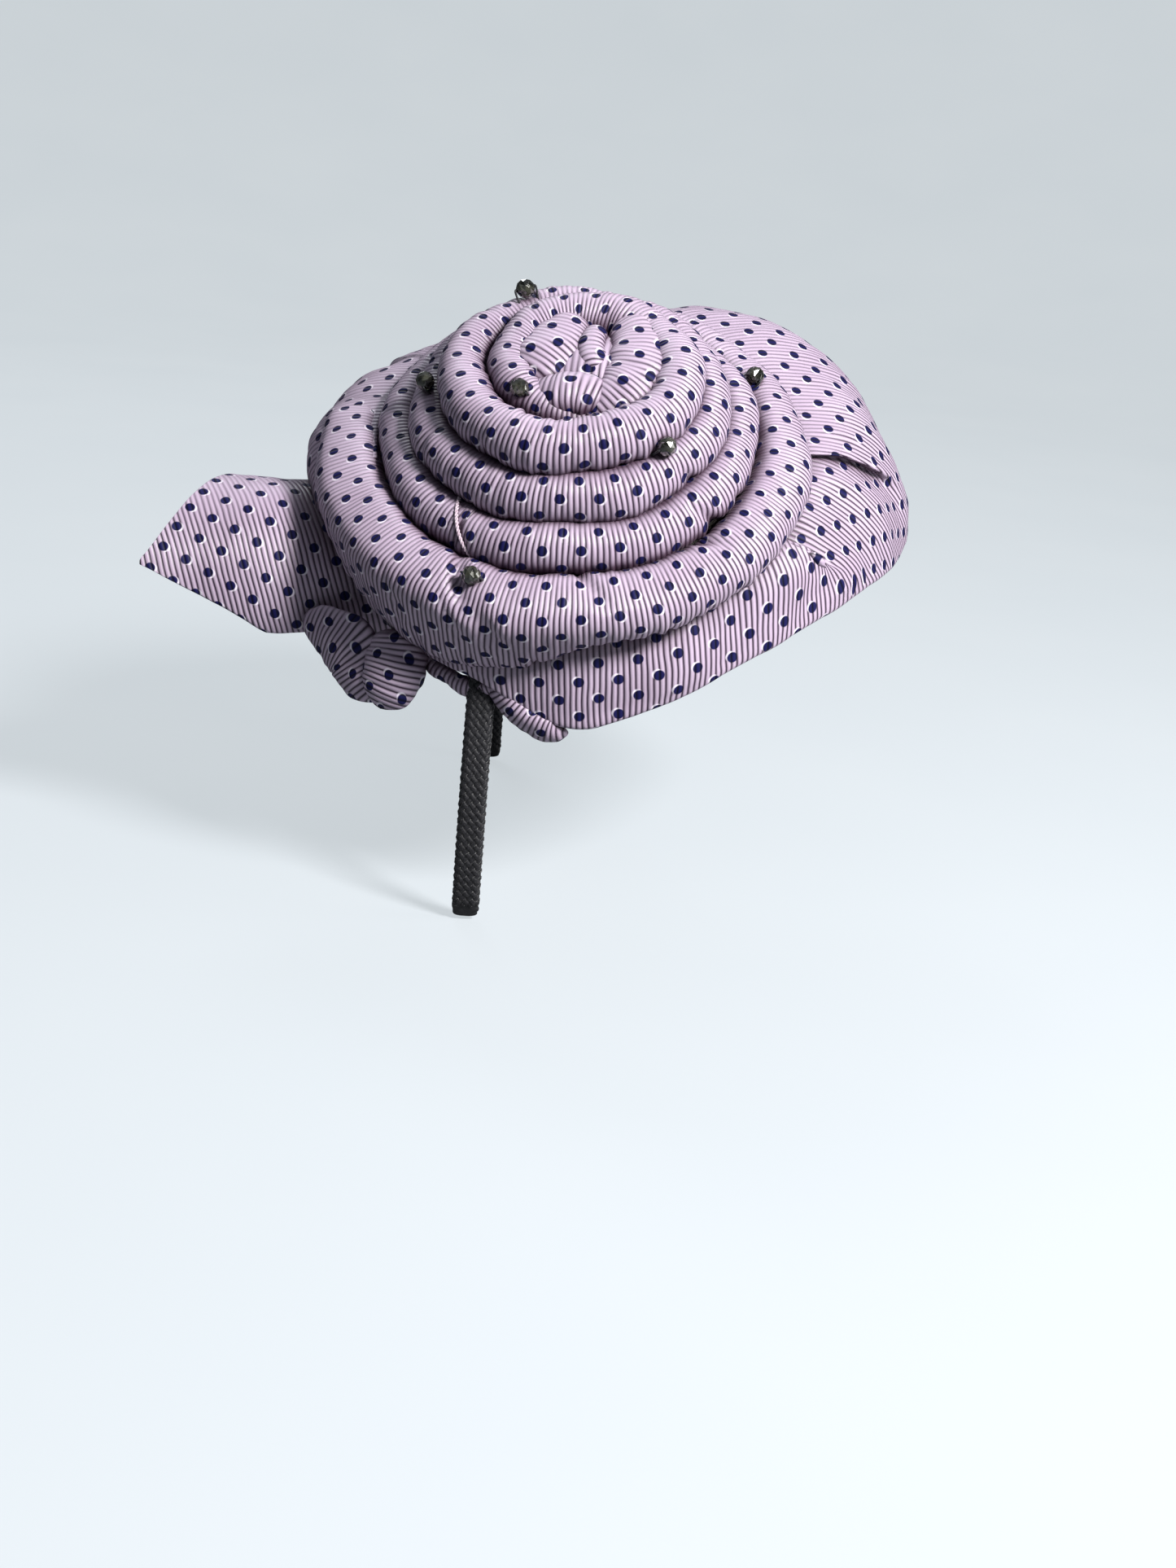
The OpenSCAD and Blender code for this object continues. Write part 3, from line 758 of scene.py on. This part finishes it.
def drape_flat(direction, moved, distance):
    """Place in the flat silk, panel by panel, blended where one panel runs into the next. The
    columns' own directions choose the panel, and the moved ones the place in it."""
    layers = []
    for _, aligned, share in DRAPE_PANELS:
        apex = DRAPE_INNER_REACH / share
        angle = np.radians(moved - aligned) * share
        layers.append(np.stack([(apex + distance) * np.sin(angle),
                                (apex + distance) * np.cos(angle) - apex], -1))
    total = layers[0]
    rim = int(DRAPE_ROWS * 0.9)
    for k in range(1, len(DRAPE_PANELS)):
        begin = DRAPE_PANELS[k][0]
        row = int(np.argmin(np.abs(direction[:, rim] - begin)))
        layer = layers[k] + (total[row, rim] - layers[k][row, rim])
        share = np.clip(np.arange(direction.shape[1]) / DRAPE_ROWS, 0, 1)[None]
        half = 1.0 + 9.0 * smooth(0.55, 1.0, share)
        centre = begin + dart_lean(begin, share)
        weight = smooth(-1, 1, (direction - centre) / half)
        total = total * (1 - weight[..., None]) + layer * weight[..., None]
    return total


def dart_lean(begin, share):
    """How far a panel's start leans round with the dart nearest to it."""
    near = min(DRAPE_DARTS, key=lambda dart: abs(dart[0] + 4 - begin))
    if abs(near[0] - begin) > 8:
        return 0.0 * share
    return (near[0] - begin) + (near[1] - near[0]) * share


def drape_columns():
    """Directions of the drape's columns, closer together in the darts."""
    columns = [np.arange(DRAPE_FROM, DRAPE_TO + 0.01, 1.1)]
    for start, end, _, half, *_ in DRAPE_DARTS:
        columns.append(np.arange(min(start, end) - half, max(start, end) + half, 0.42))
    columns = np.unique(np.round(np.concatenate(columns), 2))
    columns = columns[np.concatenate([[True], np.diff(columns) > 0.2])]
    return columns[(columns >= DRAPE_FROM) & (columns <= DRAPE_TO)]


def build_drape():
    """One sheet of silk round the rose, with its darts, its hem and its thickness."""
    columns = drape_columns()
    profile = drape_profile(columns)
    rows = profile.shape[1]
    distance = path_length(profile.swapaxes(0, 1)).T
    share = np.clip(np.arange(rows) / (DRAPE_ROWS - 1), 0, 1)[None]
    own = np.broadcast_to(columns[:, None], (len(columns), rows))
    moved = own

    lift = np.zeros_like(own)
    for start, end, reach, half, height, fold, upper_above in DRAPE_DARTS:
        line = start + (end - start) * share / reach
        fade = smooth(reach, reach * 0.55, share)
        q = (columns[:, None] - line) / half
        inside = np.clip(q, -1, 1)
        move = fold * (inside ** 3 - inside) * fade * half
        moved = moved + np.where(np.abs(q) < 1, move, 0)
        sign = 1 if upper_above else -1
        step = smooth(-0.6, 0.6, sign * q)
        away = smooth(6.0, 0.8, sign * q)
        lift = lift + height * fade * step * away
        lift = lift - 0.8 * fade * np.exp(-((sign * q + 0.9) / 0.8) ** 2)

    uv = drape_flat(own, moved, distance)
    u, v = uv[..., 0], uv[..., 1]
    free = smooth(0.02, 0.3, share) * smooth(1.0, 0.9, share) * 0.75 + 0.25
    lift = lift + free * (0.55 * ripple(u / 30, v / 34, 11) + 0.16 * ripple(u / 6, v / 24, 12))
    slope = np.gradient(profile, axis=1)
    out = unit(np.stack([-slope[..., 1], slope[..., 0]], -1))
    top = out[:, DRAPE_ROWS // 2]
    out = out * np.where(top[:, :1] < 0, -1, 1)[:, None]
    place = profile + out * lift[..., None]
    outer = round_place(place[..., 0], np.radians(moved), place[..., 1])
    facing = normals(outer)
    middle = outer[len(columns) // 2, DRAPE_ROWS // 2]
    if np.dot(facing[len(columns) // 2, DRAPE_ROWS // 2], middle * (1, 1, 0)) < 0:
        facing = -facing
    inner = outer - SILK_DEPTH * facing
    grid = np.concatenate([outer, inner[:, ::-1]], axis=1)
    places = np.concatenate([uv, uv[:, ::-1], uv[:, :1]], axis=1)
    finish_piece(loft("silk_drape", cap_to_row(grid), places), "cap", "silk", silk,
                 "drape_front", "drape_far", "drape_near")


def build_rim_folds():
    """The ear where the blade's edge turns back, the gathered edge beside it, and the lobe."""
    build_fold(None, "silk_ear",
               [(-18.5, -50, 10.5), (-15.5, -53.3, 6.6), (-10.6, -56.8, 3.0), (-4.8, -59.2, 1.0),
                (-0.5, -60.3, 1.2)],
               (2.2, 3.6, 4.6, 4.2, 2.4), (1.6, 2.6, 3.2, 2.8, 1.6), (-0.45, -0.75, -0.2),
               (3.0, 2.0), 0.25, 31, blunt=(0.15, 0.3))
    build_fold(None, "silk_gather",
               [(-37, -39, 9.5), (-34, -42, 7.6), (-29, -46.6, 6.2), (-23, -50.8, 6.0),
                (-17.5, -52.2, 8.2)],
               (1.8, 2.3, 2.2, 2.4, 1.9), (1.5, 1.8, 1.8, 1.9, 1.6), (-0.5, -0.8, 0.2),
               (1.0, 5.0), 0.35, 32)
    build_fold("gathered_lobe", "silk_lobe",
               [(-40, -38, 12.5), (-40.5, -42.5, 8.5), (-42, -47, 3.8), (-44.5, -51, -1.0)],
               (6.5, 7.6, 7.0, 4.4), (3.0, 4.4, 4.2, 2.6), (-0.25, -0.85, 0.35),
               (2.0, 4.0), 0.35, 33, sides=44, count=80, blunt=(0.2, 0.22))
    build_fold(None, "silk_lobe_flap",
               [(-63, -29, 7), (-57, -34, 7), (-51.5, -39, 5.5), (-48, -44.5, 1.8),
                (-45.5, -49, -0.6)],
               (3.5, 6.8, 8.4, 6.6, 3.4), (1.6, 2.0, 2.6, 2.4, 1.6), (-0.4, -0.7, 0.5),
               (5.0, 1.0), 0.4, 34, sides=44, count=80, blunt=(0.12, 0.2))


# ---------------------------------------------------------------- leaf

LEAF_TUCK_FAR = 11.0
LEAF_TUCK_NEAR = 17.0


def leaf_surface(along, turn, depth):
    """A point in the leaf, from its root outwards, round the curl from its crest (positive on
    the far side), and below its top face."""
    across = turn * LEAF_CURL
    wave = 0.55 * ripple(along / 27, across / 30, 41) + 0.12 * ripple(along / 7, across / 40, 42)
    lips = 0.5 * smooth(0.6, 1.5, np.abs(turn)) * np.sin(along / 5.2)
    radius = LEAF_CURL - depth + (wave + lips) * smooth(-4, 8, along)
    local = np.stack([-along + 0 * radius, radius * np.sin(turn), radius * np.cos(turn)], -1)
    return local @ (rotation("Z", LEAF_YAW) @ rotation("Y", LEAF_RISE)).T + LEAF_ROOT


def leaf_layer(name, top, bottom, inset, tuck_far, tuck_near):
    """One layer of the leaf as a closed curled sheet with rounded edges."""
    s = np.linspace(0, 1, 96)[:, None] ** 0.92
    w = np.sin(np.linspace(-np.pi / 2, np.pi / 2, 64))[None]
    root = -tuck_far + (tuck_far - tuck_near) * smooth(0.6, -1.0, w)
    along = root + (LEAF_LENGTH - inset - root) * s
    share = np.clip((LEAF_LENGTH - inset - along) / LEAF_POINT, 0, 1)
    share = np.sqrt(share ** 2 + 0.0009) * smooth(-0.02, 0.02, share)
    spread = np.minimum(share, 1)
    trim = inset / LEAF_CURL * np.minimum(share * 4, 1)
    turn = LEAF_POINT_TURN * (1 - spread) + w * (LEAF_EDGE_TURN * spread - trim)
    middle = (top + bottom) / 2
    thick = (bottom - top) / 2 * rounded((1 - np.abs(w)) / 0.04, 0.03) + 0 * along
    upper = leaf_surface(along, turn, middle - thick)
    lower = leaf_surface(along, turn, middle + thick)
    grid = np.concatenate([upper, lower[:, ::-1]], axis=1)

    # The blade's own length runs aslant to the curl, so its ribs do too.
    back = LEAF_LENGTH - along
    over = (turn - LEAF_POINT_TURN) * LEAF_CURL
    uv = np.stack([-(back * math.cos(LEAF_BIAS) + over * math.sin(LEAF_BIAS)),
                   over * math.cos(LEAF_BIAS) - back * math.sin(LEAF_BIAS)], -1)
    places = np.concatenate([uv, uv[:, ::-1], uv[:, :1]], axis=1) + (2.1, 1.5)
    return loft(name, cap_to_row(grid), places)


def bend_piece(obj, material, node):
    """A piece with its material and its transform baked into its points, taking over a CAD node.
    """
    obj.data.materials.append(material)
    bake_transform(obj)
    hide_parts(node)


def build_leaf():
    """Silk, interlining and lining, whose root is held in the roll."""
    layers = [
        ("silk_leaf", 0.0, 2.8, 0.0, LEAF_TUCK_FAR, LEAF_TUCK_NEAR, silk, "silk", "leaf_silk"),
        ("leaf_felt", 0.7, 2.2, 2.0, 4.0, 4.0, wool_interlining, "interlining",
         "leaf_interlining"),
        ("leaf_lining", 2.4, 3.3, 5.5, 6.0, 6.0, tipping_cloth, "tipping", "leaf_tipping")]
    for *shape, material, slot, node in layers:
        bend_piece(leaf_layer(*shape), material, node)


# ---------------------------------------------------------------- beads and thread


def bead_frame(place):
    """Centre of a bead, and the directions along its thread and outwards."""
    angle = math.radians(place[0])
    out = round_place(1.0, angle, 0.0)
    centre = ROSE_OFFSET * X_AXIS + place[1] * out + place[2] * Z_AXIS
    return centre, np.array([math.sin(angle), -math.cos(angle), 0]), out


def build_beads():
    """Round faceted beads, drilled through, as one group of closed solids."""
    facets, radius = 10, BEAD_D / 2
    bore_end = math.sqrt(radius ** 2 - BEAD_BORE_RADIUS ** 2)
    tilts = np.radians([-70, -42, -14, 14, 42, 70])
    rings = [(BEAD_BORE_RADIUS, -bore_end)]
    rings += [(radius * math.cos(t), radius * math.sin(t)) for t in tilts]
    rings += [(BEAD_BORE_RADIUS, bore_end)]
    points, faces = [], []
    for place in BEAD_PLACES:
        centre, along, out = bead_frame(place)
        first = len(points)
        for k, (ring, height) in enumerate(rings):
            here, there = first + k * facets, first + (k + 1) % len(rings) * facets
            for m in range(facets):
                angle = 2 * math.pi * (m + 0.5 * (k % 2)) / facets
                points.append(centre + height * along
                              + ring * (math.cos(angle) * out + math.sin(angle) * Z_AXIS))
                beside = (m + 1) % facets
                faces.append((here + m, here + beside, there + beside, there + m))
    obj = new_object("beads", cap_to_row(points), faces, flat=True)
    finish_piece(obj, "cap", "bead_glass", bead_glass, "glass_beads")


def oval_rings(path, across, front, wide, deep, sides):
    """Rows of an oval tube's sections along a path. Wide and deep are half sizes."""
    angle = circle(sides)[None, :, None]
    return (path[:, None] + wide * np.cos(angle) * across[:, None]
            + deep * np.sin(angle) * front[:, None])


def tube_points(path, radius, sides=8):
    """Rows of a round tube along a path of points."""
    tangent = unit(np.gradient(path, axis=0))
    side = unit(np.cross(tangent, (0.31, 0.17, 0.93)))
    return oval_rings(path, side, np.cross(tangent, side), radius, radius, sides)


def join_lofts(name, grids):
    """One object from several capped tubes."""
    points, faces = [], []
    for grid in grids:
        part = grid.reshape(-1, 3)
        own, _ = grid_faces(*grid.shape[:2])
        base = sum(len(p) for p in points)
        faces += [tuple(base + k for k in face) for face in turned_out(part, own)]
        points.append(part)
    return link_mesh(name, (np.vstack(points) * MM).tolist(), faces)


def build_bead_threads():
    """Thread through each bead that dives into the silk on both sides."""
    grids = []
    reach = BEAD_D / 2
    for place in BEAD_PLACES:
        centre, along, out = bead_frame(place)
        dive = -THREAD_DIVE * (0.55 * Z_AXIS + 0.45 * out)
        path = [centre - along * (reach + 0.1) + dive, centre - along * (reach + 0.3),
                centre - along * reach * 0.6, centre, centre + along * reach * 0.6,
                centre + along * (reach + 0.3), centre + along * (reach + 0.1) + dive]
        grids.append(cap_to_row(tube_points(spline(path, 40), THREAD_RADIUS)))
    finish_piece(join_lofts("bead_thread_loops", grids), "cap", "thread", black_thread,
                 "bead_threads")


def build_joining_seam():
    """Two plies of pale thread twisted along the seam, over the roll's outer face."""
    around = np.linspace(-32, 118, 160)
    turn = NECK_END + 0.00032 * (around - 35)
    path = roll_surface(turn, around, 0.05)
    out = unit(path - roll_surface(turn, around, -3.0))
    tangent = unit(np.gradient(path, axis=0))
    side = np.cross(tangent, out)
    twist = np.radians(around) * 26
    grids = []
    for shift in (0, np.pi):
        wind = (np.cos(twist + shift)[:, None] * out + np.sin(twist + shift)[:, None] * side)
        grids.append(cap_to_row(tube_points(path + 0.22 * wind, 0.24)))
    finish_piece(join_lofts("joining_seam_thread", grids), "cap", "seam_thread", pale_thread,
                 "joining_seam")


# ---------------------------------------------------------------- headband


def band_frame(distance, side):
    """Centre line of the band at distances from its top, with its tangent and outward
    direction. Side is 1 for the wearer's left and -1 for the right."""
    crown = CROWN_RADIUS * FLEX_ANGLE
    on_arm = distance > crown
    angle = np.where(on_arm, FLEX_ANGLE + (distance - crown) / ARM_RADIUS, distance / CROWN_RADIUS)
    radius = np.where(on_arm, ARM_RADIUS, CROWN_RADIUS)
    back = CROWN_RADIUS - ARM_RADIUS
    y = np.where(on_arm, back * math.sin(FLEX_ANGLE), 0) + radius * np.sin(angle)
    z = CROWN_CENTRE_Z + np.where(on_arm, back * math.cos(FLEX_ANGLE), 0) + radius * np.cos(angle)
    centre = np.stack([0 * y, side * y, z], -1)
    tangent = np.stack([0 * y, side * np.cos(angle), -np.sin(angle)], -1)
    outward = np.stack([0 * y, side * np.sin(angle), np.cos(angle)], -1)
    return centre, tangent, outward


BAND_HALF = CROWN_RADIUS * FLEX_ANGLE + ARM_RADIUS * (
    math.acos(-(CROWN_CENTRE_Z + (CROWN_RADIUS - ARM_RADIUS) * math.cos(FLEX_ANGLE)) / ARM_RADIUS)
    - FLEX_ANGLE)
STRANDS_EACH_WAY = 8
BRAID_LAY = 17.0
BRAID_WIDTH = 5.7
BRAID_DEPTH = 2.2
STRAND_WIDTH = 0.72
STRAND_DEPTH = 0.36
BRAID_STEP = 0.5
HINGE_RUN = 12.0
TIP_HALF_WIDTH = 3.1
TIP_HALF_DEPTH = 1.35
ARMS = (("right", -1), ("left", 1))


def stadium(share):
    """Point and outward direction on the braid's flat oval section, by share of its outline."""
    flat, r = BRAID_WIDTH - BRAID_DEPTH, BRAID_DEPTH / 2
    bend, half = math.pi * r, flat / 2
    d = np.mod(share, 1) * 2 * (flat + bend)
    right = (d - flat) / r - math.pi / 2
    left = (d - 2 * flat - bend) / r + math.pi / 2
    spans = [d < flat, d < flat + bend, d < 2 * flat + bend, d >= 2 * flat + bend]
    middle = np.select(spans, [d - half, half, half - (d - flat - bend), -half])
    out = np.stack([np.select(spans, [0, np.cos(right), 0, np.cos(left)]),
                    np.select(spans, [-1, np.sin(right), 1, np.sin(left)])], -1)
    return np.stack([middle, 0 * d], -1) + r * out, out


def braid_strands(start, end, side):
    """The interlaced strands of the tubular braid over a stretch of the band."""
    distance = np.arange(start, end + BRAID_STEP / 2, BRAID_STEP)
    signed = side * distance
    centre, _, up = band_frame(distance, side)
    grids = []
    for way in (-1, 1):
        for k in range(STRANDS_EACH_WAY):
            share = k / STRANDS_EACH_WAY + way * signed / BRAID_LAY
            place, out = stadium(share)
            weave = way * np.cos(2 * np.pi * STRANDS_EACH_WAY * signed / BRAID_LAY)
            place = place + out * (0.22 * weave)[:, None]
            path = centre + place[:, :1] * X_AXIS + place[:, 1:] * up
            tangent = unit(np.gradient(path, axis=0))
            across = unit(np.cross(tangent, out[:, :1] * X_AXIS + out[:, 1:] * up))
            grids.append(oval_rings(path, across, np.cross(across, tangent), STRAND_WIDTH,
                                    STRAND_DEPTH, 6))
    return grids


def build_braid():
    """Braid over the crown, and over each flex line and arm."""
    flex = CROWN_RADIUS * FLEX_ANGLE
    crown = braid_strands(0, flex - HINGE_RUN, 1) + braid_strands(0, flex - HINGE_RUN, -1)
    finish_piece(join_lofts("braid_crown", crown), "cap", "braid", braid_cord,
                 "band_braid_crown")
    for name, side in ARMS:
        grids = braid_strands(flex - HINGE_RUN, BAND_HALF - TIP_LENGTH + 1, side)
        bend_piece(join_lofts("braid_arm_" + name, grids), braid_cord,
                   "band_braid_" + name)


def build_braid_tips():
    """The braid's ends, fused flat and slightly spread."""
    for name, side in ARMS:
        distance = np.linspace(BAND_HALF - TIP_LENGTH, BAND_HALF, 36)
        centre, _, up = band_frame(distance, side)
        s = np.linspace(0, 1, 36)
        end = rounded((1 - s) / 0.18, 0.02)
        angle = circle(40)
        wide = (TIP_HALF_WIDTH + 0.15 * np.sin(5 * s)) * end
        deep = (TIP_HALF_DEPTH - 0.2 * s) * end
        x, y = squared(np.cos(angle), 0.55), squared(np.sin(angle), 0.75)
        lump = 1 + 0.05 * ripple(s[:, None] * 2.5, angle[None], 61 + side)
        grid = (centre[:, None] + (wide[:, None] * x[None] * lump)[..., None] * X_AXIS
                + (deep[:, None] * y[None] * lump)[..., None] * up[:, None])
        finish_piece(loft("braid_end_" + name, grid), name + "_arm", "braid_fused", fused_braid,
                     "braid_tip_" + name)


# ---------------------------------------------------------------- base

TAPE_REACH = BASE_RADIUS + 0.75
TAPE_FROM_DOME_CENTRE = 81.2
TAPE_RADIUS = 1.66

# Where the band is sewn to the base, as angles from the top of the crown.
SEWN_FROM, SEWN_TO = math.radians(22), math.radians(56)
STITCHES = 4
STITCH_HALF_WIDTH = 3.75
STITCH_HALF_DEPTH = 2.15
FELT_HALF_WIDTH = 5.0
FELT_LIFT = 2.05
FELT_HALF_DEPTH = 0.4


def dome_point(reach, angle, radius):
    """A point on a sphere about the dome's centre, by plan distance and direction."""
    return round_place(reach, angle, np.sqrt(radius ** 2 - reach ** 2)) + DOME_CENTRE


def build_lining():
    """Domed lining of the base, eased in along its edge with small gathers."""
    rings, spokes = 40, 144
    angle = circle(spokes)[:, None]
    reach = np.linspace(0.4, BASE_RADIUS - 0.3, rings)[None]
    edge = smooth(0.55, 1.0, reach / BASE_RADIUS)
    gathers = 0.16 * edge * np.sin(angle * 48 + 1.5 * np.sin(angle * 5))
    below = dome_point(reach, angle, DOME_RADIUS + gathers * 0.5 + 0.1)
    above = dome_point(reach, angle, DOME_RADIUS + 0.75)
    grid = np.concatenate([below, above[:, ::-1]], axis=1)
    finish_piece(loft("lining_dome", cap_to_row(grid), loop=True), "cap", "lining",
                 lining_cloth, "base_lining")


def build_binding():
    """Ribbed tape bound over the wired edge."""
    spokes, sides = 720, 22
    angle = circle(spokes)[:, None]
    around = circle(sides)[None]
    radius = TAPE_RADIUS + 0.05 * np.sin(angle * 180) + 0.03 * np.sin(angle * 23)
    middle = math.sqrt(TAPE_FROM_DOME_CENTRE ** 2 - TAPE_REACH ** 2)
    grid = DOME_CENTRE + round_place(TAPE_REACH + radius * np.cos(around), angle,
                                     middle + radius * np.sin(around))
    finish_piece(loft("binding_tape_edge", cap_to_row(grid), loop=True), "cap", "binding",
                 binding_tape, "edge_binding")


def build_felt():
    """Felt strip between the band and the lining."""
    rows, sides = 80, 28
    s = np.linspace(0, 1, rows)
    distance = CROWN_RADIUS * (SEWN_FROM + (SEWN_TO - SEWN_FROM) * s)
    centre, _, up = band_frame(distance, -1)
    ends = rounded((0.5 - np.abs(s - 0.5)) / 0.06, 0.05)
    angle = circle(sides)[None]
    x, y = squared(np.cos(angle), 0.35), squared(np.sin(angle), 0.6)
    wide = FELT_HALF_WIDTH * ends[:, None] + 0.12 * ripple(distance[:, None] / 3, angle, 71)
    grid = (centre[:, None] + up[:, None] * (FELT_LIFT + FELT_HALF_DEPTH * y)[..., None]
            + (wide * x)[..., None] * X_AXIS)
    finish_piece(loft("felt_strip", grid), "cap", "felt", black_felt, "band_felt")


def build_band_stitches():
    """Doubled thread looped round the braid and up through the felt."""
    around = np.radians(np.linspace(-245, 65, 40))
    grids = []
    for k in range(STITCHES):
        angle = SEWN_FROM + (SEWN_TO - SEWN_FROM) * (k + 0.5) / STITCHES
        for shift in (-0.35, 0.35):
            centre, tangent, up = band_frame(np.array([CROWN_RADIUS * angle + shift]), -1)
            path = (centre + (STITCH_HALF_WIDTH * np.cos(around))[:, None] * X_AXIS
                    + (STITCH_HALF_DEPTH * np.sin(around) + 0.15)[:, None] * up
                    + (shift * 0.6 * np.sin(around * 1.5))[:, None] * tangent)
            grids.append(tube_points(path, THREAD_RADIUS))
    finish_piece(join_lofts("band_stitch_loops", grids), "cap", "thread", black_thread,
                 "band_stitches")


def paint_cad_nodes():
    """Materials of the CAD nodes that are kept as they are."""
    finishes = {
        "band_spring_crown": spring_steel, "band_spring_right": spring_steel,
        "band_spring_left": spring_steel, "base_shell": buckram, "rim_wire": wire_steel,
        "rose_padding": wadding, "coil_interlining": wool_interlining}
    for name, material in finishes.items():
        mesh = nodes[name].data
        mesh.materials.clear()
        mesh.materials.append(material)


# ---------------------------------------------------------------- camera, light and floor

CAMERA_POSITION = Vector((13.2, -538.0, 188.9)) * MM
CAMERA_RIGHT = Vector((0.996, 0.0, 0.0872))
CAMERA_FORWARD = Vector((0.0269, 0.951, -0.3078))
LENS = 48.6


def build_camera():
    data = bpy.data.cameras.new("camera")
    data.lens = LENS
    data.sensor_width = 36
    data.clip_start = 0.01
    camera = bpy.data.objects.new("camera", data)
    forward = CAMERA_FORWARD.normalized()
    up = CAMERA_RIGHT.cross(forward).normalized()
    right = forward.cross(up).normalized()
    turn = Matrix((right, up, -forward)).transposed()
    camera.matrix_world = Matrix.Translation(CAMERA_POSITION) @ turn.to_4x4()
    bpy.context.scene.collection.objects.link(camera)
    bpy.context.scene.camera = camera


def add_area(name, place, target, size, power, tint):
    data = bpy.data.lights.new(name, "AREA")
    data.shape = "DISK"
    data.size = size
    data.energy = power
    data.color = tint
    light = bpy.data.objects.new(name, data)
    light.location = place
    light.rotation_mode = "QUATERNION"
    light.rotation_quaternion = (Vector(target) - Vector(place)).to_track_quat("-Z", "Y")
    bpy.context.scene.collection.objects.link(light)


def studio_floor():
    """A round pale floor that sweeps up into a wall, so that no horizon shows. It glows to the
    camera alone, so that it looks pale without lighting the piece from below."""
    spokes = 96
    rise = np.linspace(0.1, math.pi / 2, 16)
    radius = np.concatenate([[0.5, 1.0], 1 + np.sin(rise), [2.0]])[:, None]
    height = np.concatenate([[0, 0], 1 - np.cos(rise), [1.3]])[:, None] - MM
    points = round_place(radius, circle(spokes), height).reshape(-1, 3)
    faces, _ = grid_faces(len(radius), spokes)
    floor = link_mesh("floor", points.tolist(), faces[:-1])
    n = Nodes("pale_floor")
    shade = n.mix(n.noise(0.01, 2.0), colour(226, 234, 239), colour(232, 239, 243))
    seen = n.add("ShaderNodeLightPath").outputs["Is Camera Ray"]
    glow = n.math("MULTIPLY", seen, 0.68)
    floor.data.materials.append(n.set(Base_Color=colour(126, 130, 134), Roughness=0.9,
                                      Specular_IOR_Level=0.1, Emission_Color=shade,
                                      Emission_Strength=glow))


def build_studio():
    target = (0.02, -0.02, 0.09)
    add_area("key", (0.42, -0.49, 0.56), target, 0.2, 10.0, (1.0, 0.98, 0.97))
    add_area("side", (0.75, -0.1, 0.25), target, 0.3, 1.2, (1.0, 0.99, 0.98))
    add_area("window", (-0.3, 0.75, 0.95), target, 0.4, 2.6, (0.92, 0.96, 1.0))
    world = bpy.data.worlds.new("studio")
    world.use_nodes = True
    background = world.node_tree.nodes["Background"]
    background.inputs["Color"].default_value = (0.80, 0.87, 0.93, 1)
    background.inputs["Strength"].default_value = 0.3
    scene = bpy.context.scene
    scene.world = world
    scene.view_settings.view_transform = "Standard"
    studio_floor()


build_coil()
build_bud()
build_drape()
build_rim_folds()
build_leaf()
build_beads()
build_bead_threads()
build_joining_seam()
build_braid()
build_braid_tips()
build_lining()
build_binding()
build_felt()
build_band_stitches()
paint_cad_nodes()
build_camera()
build_studio()
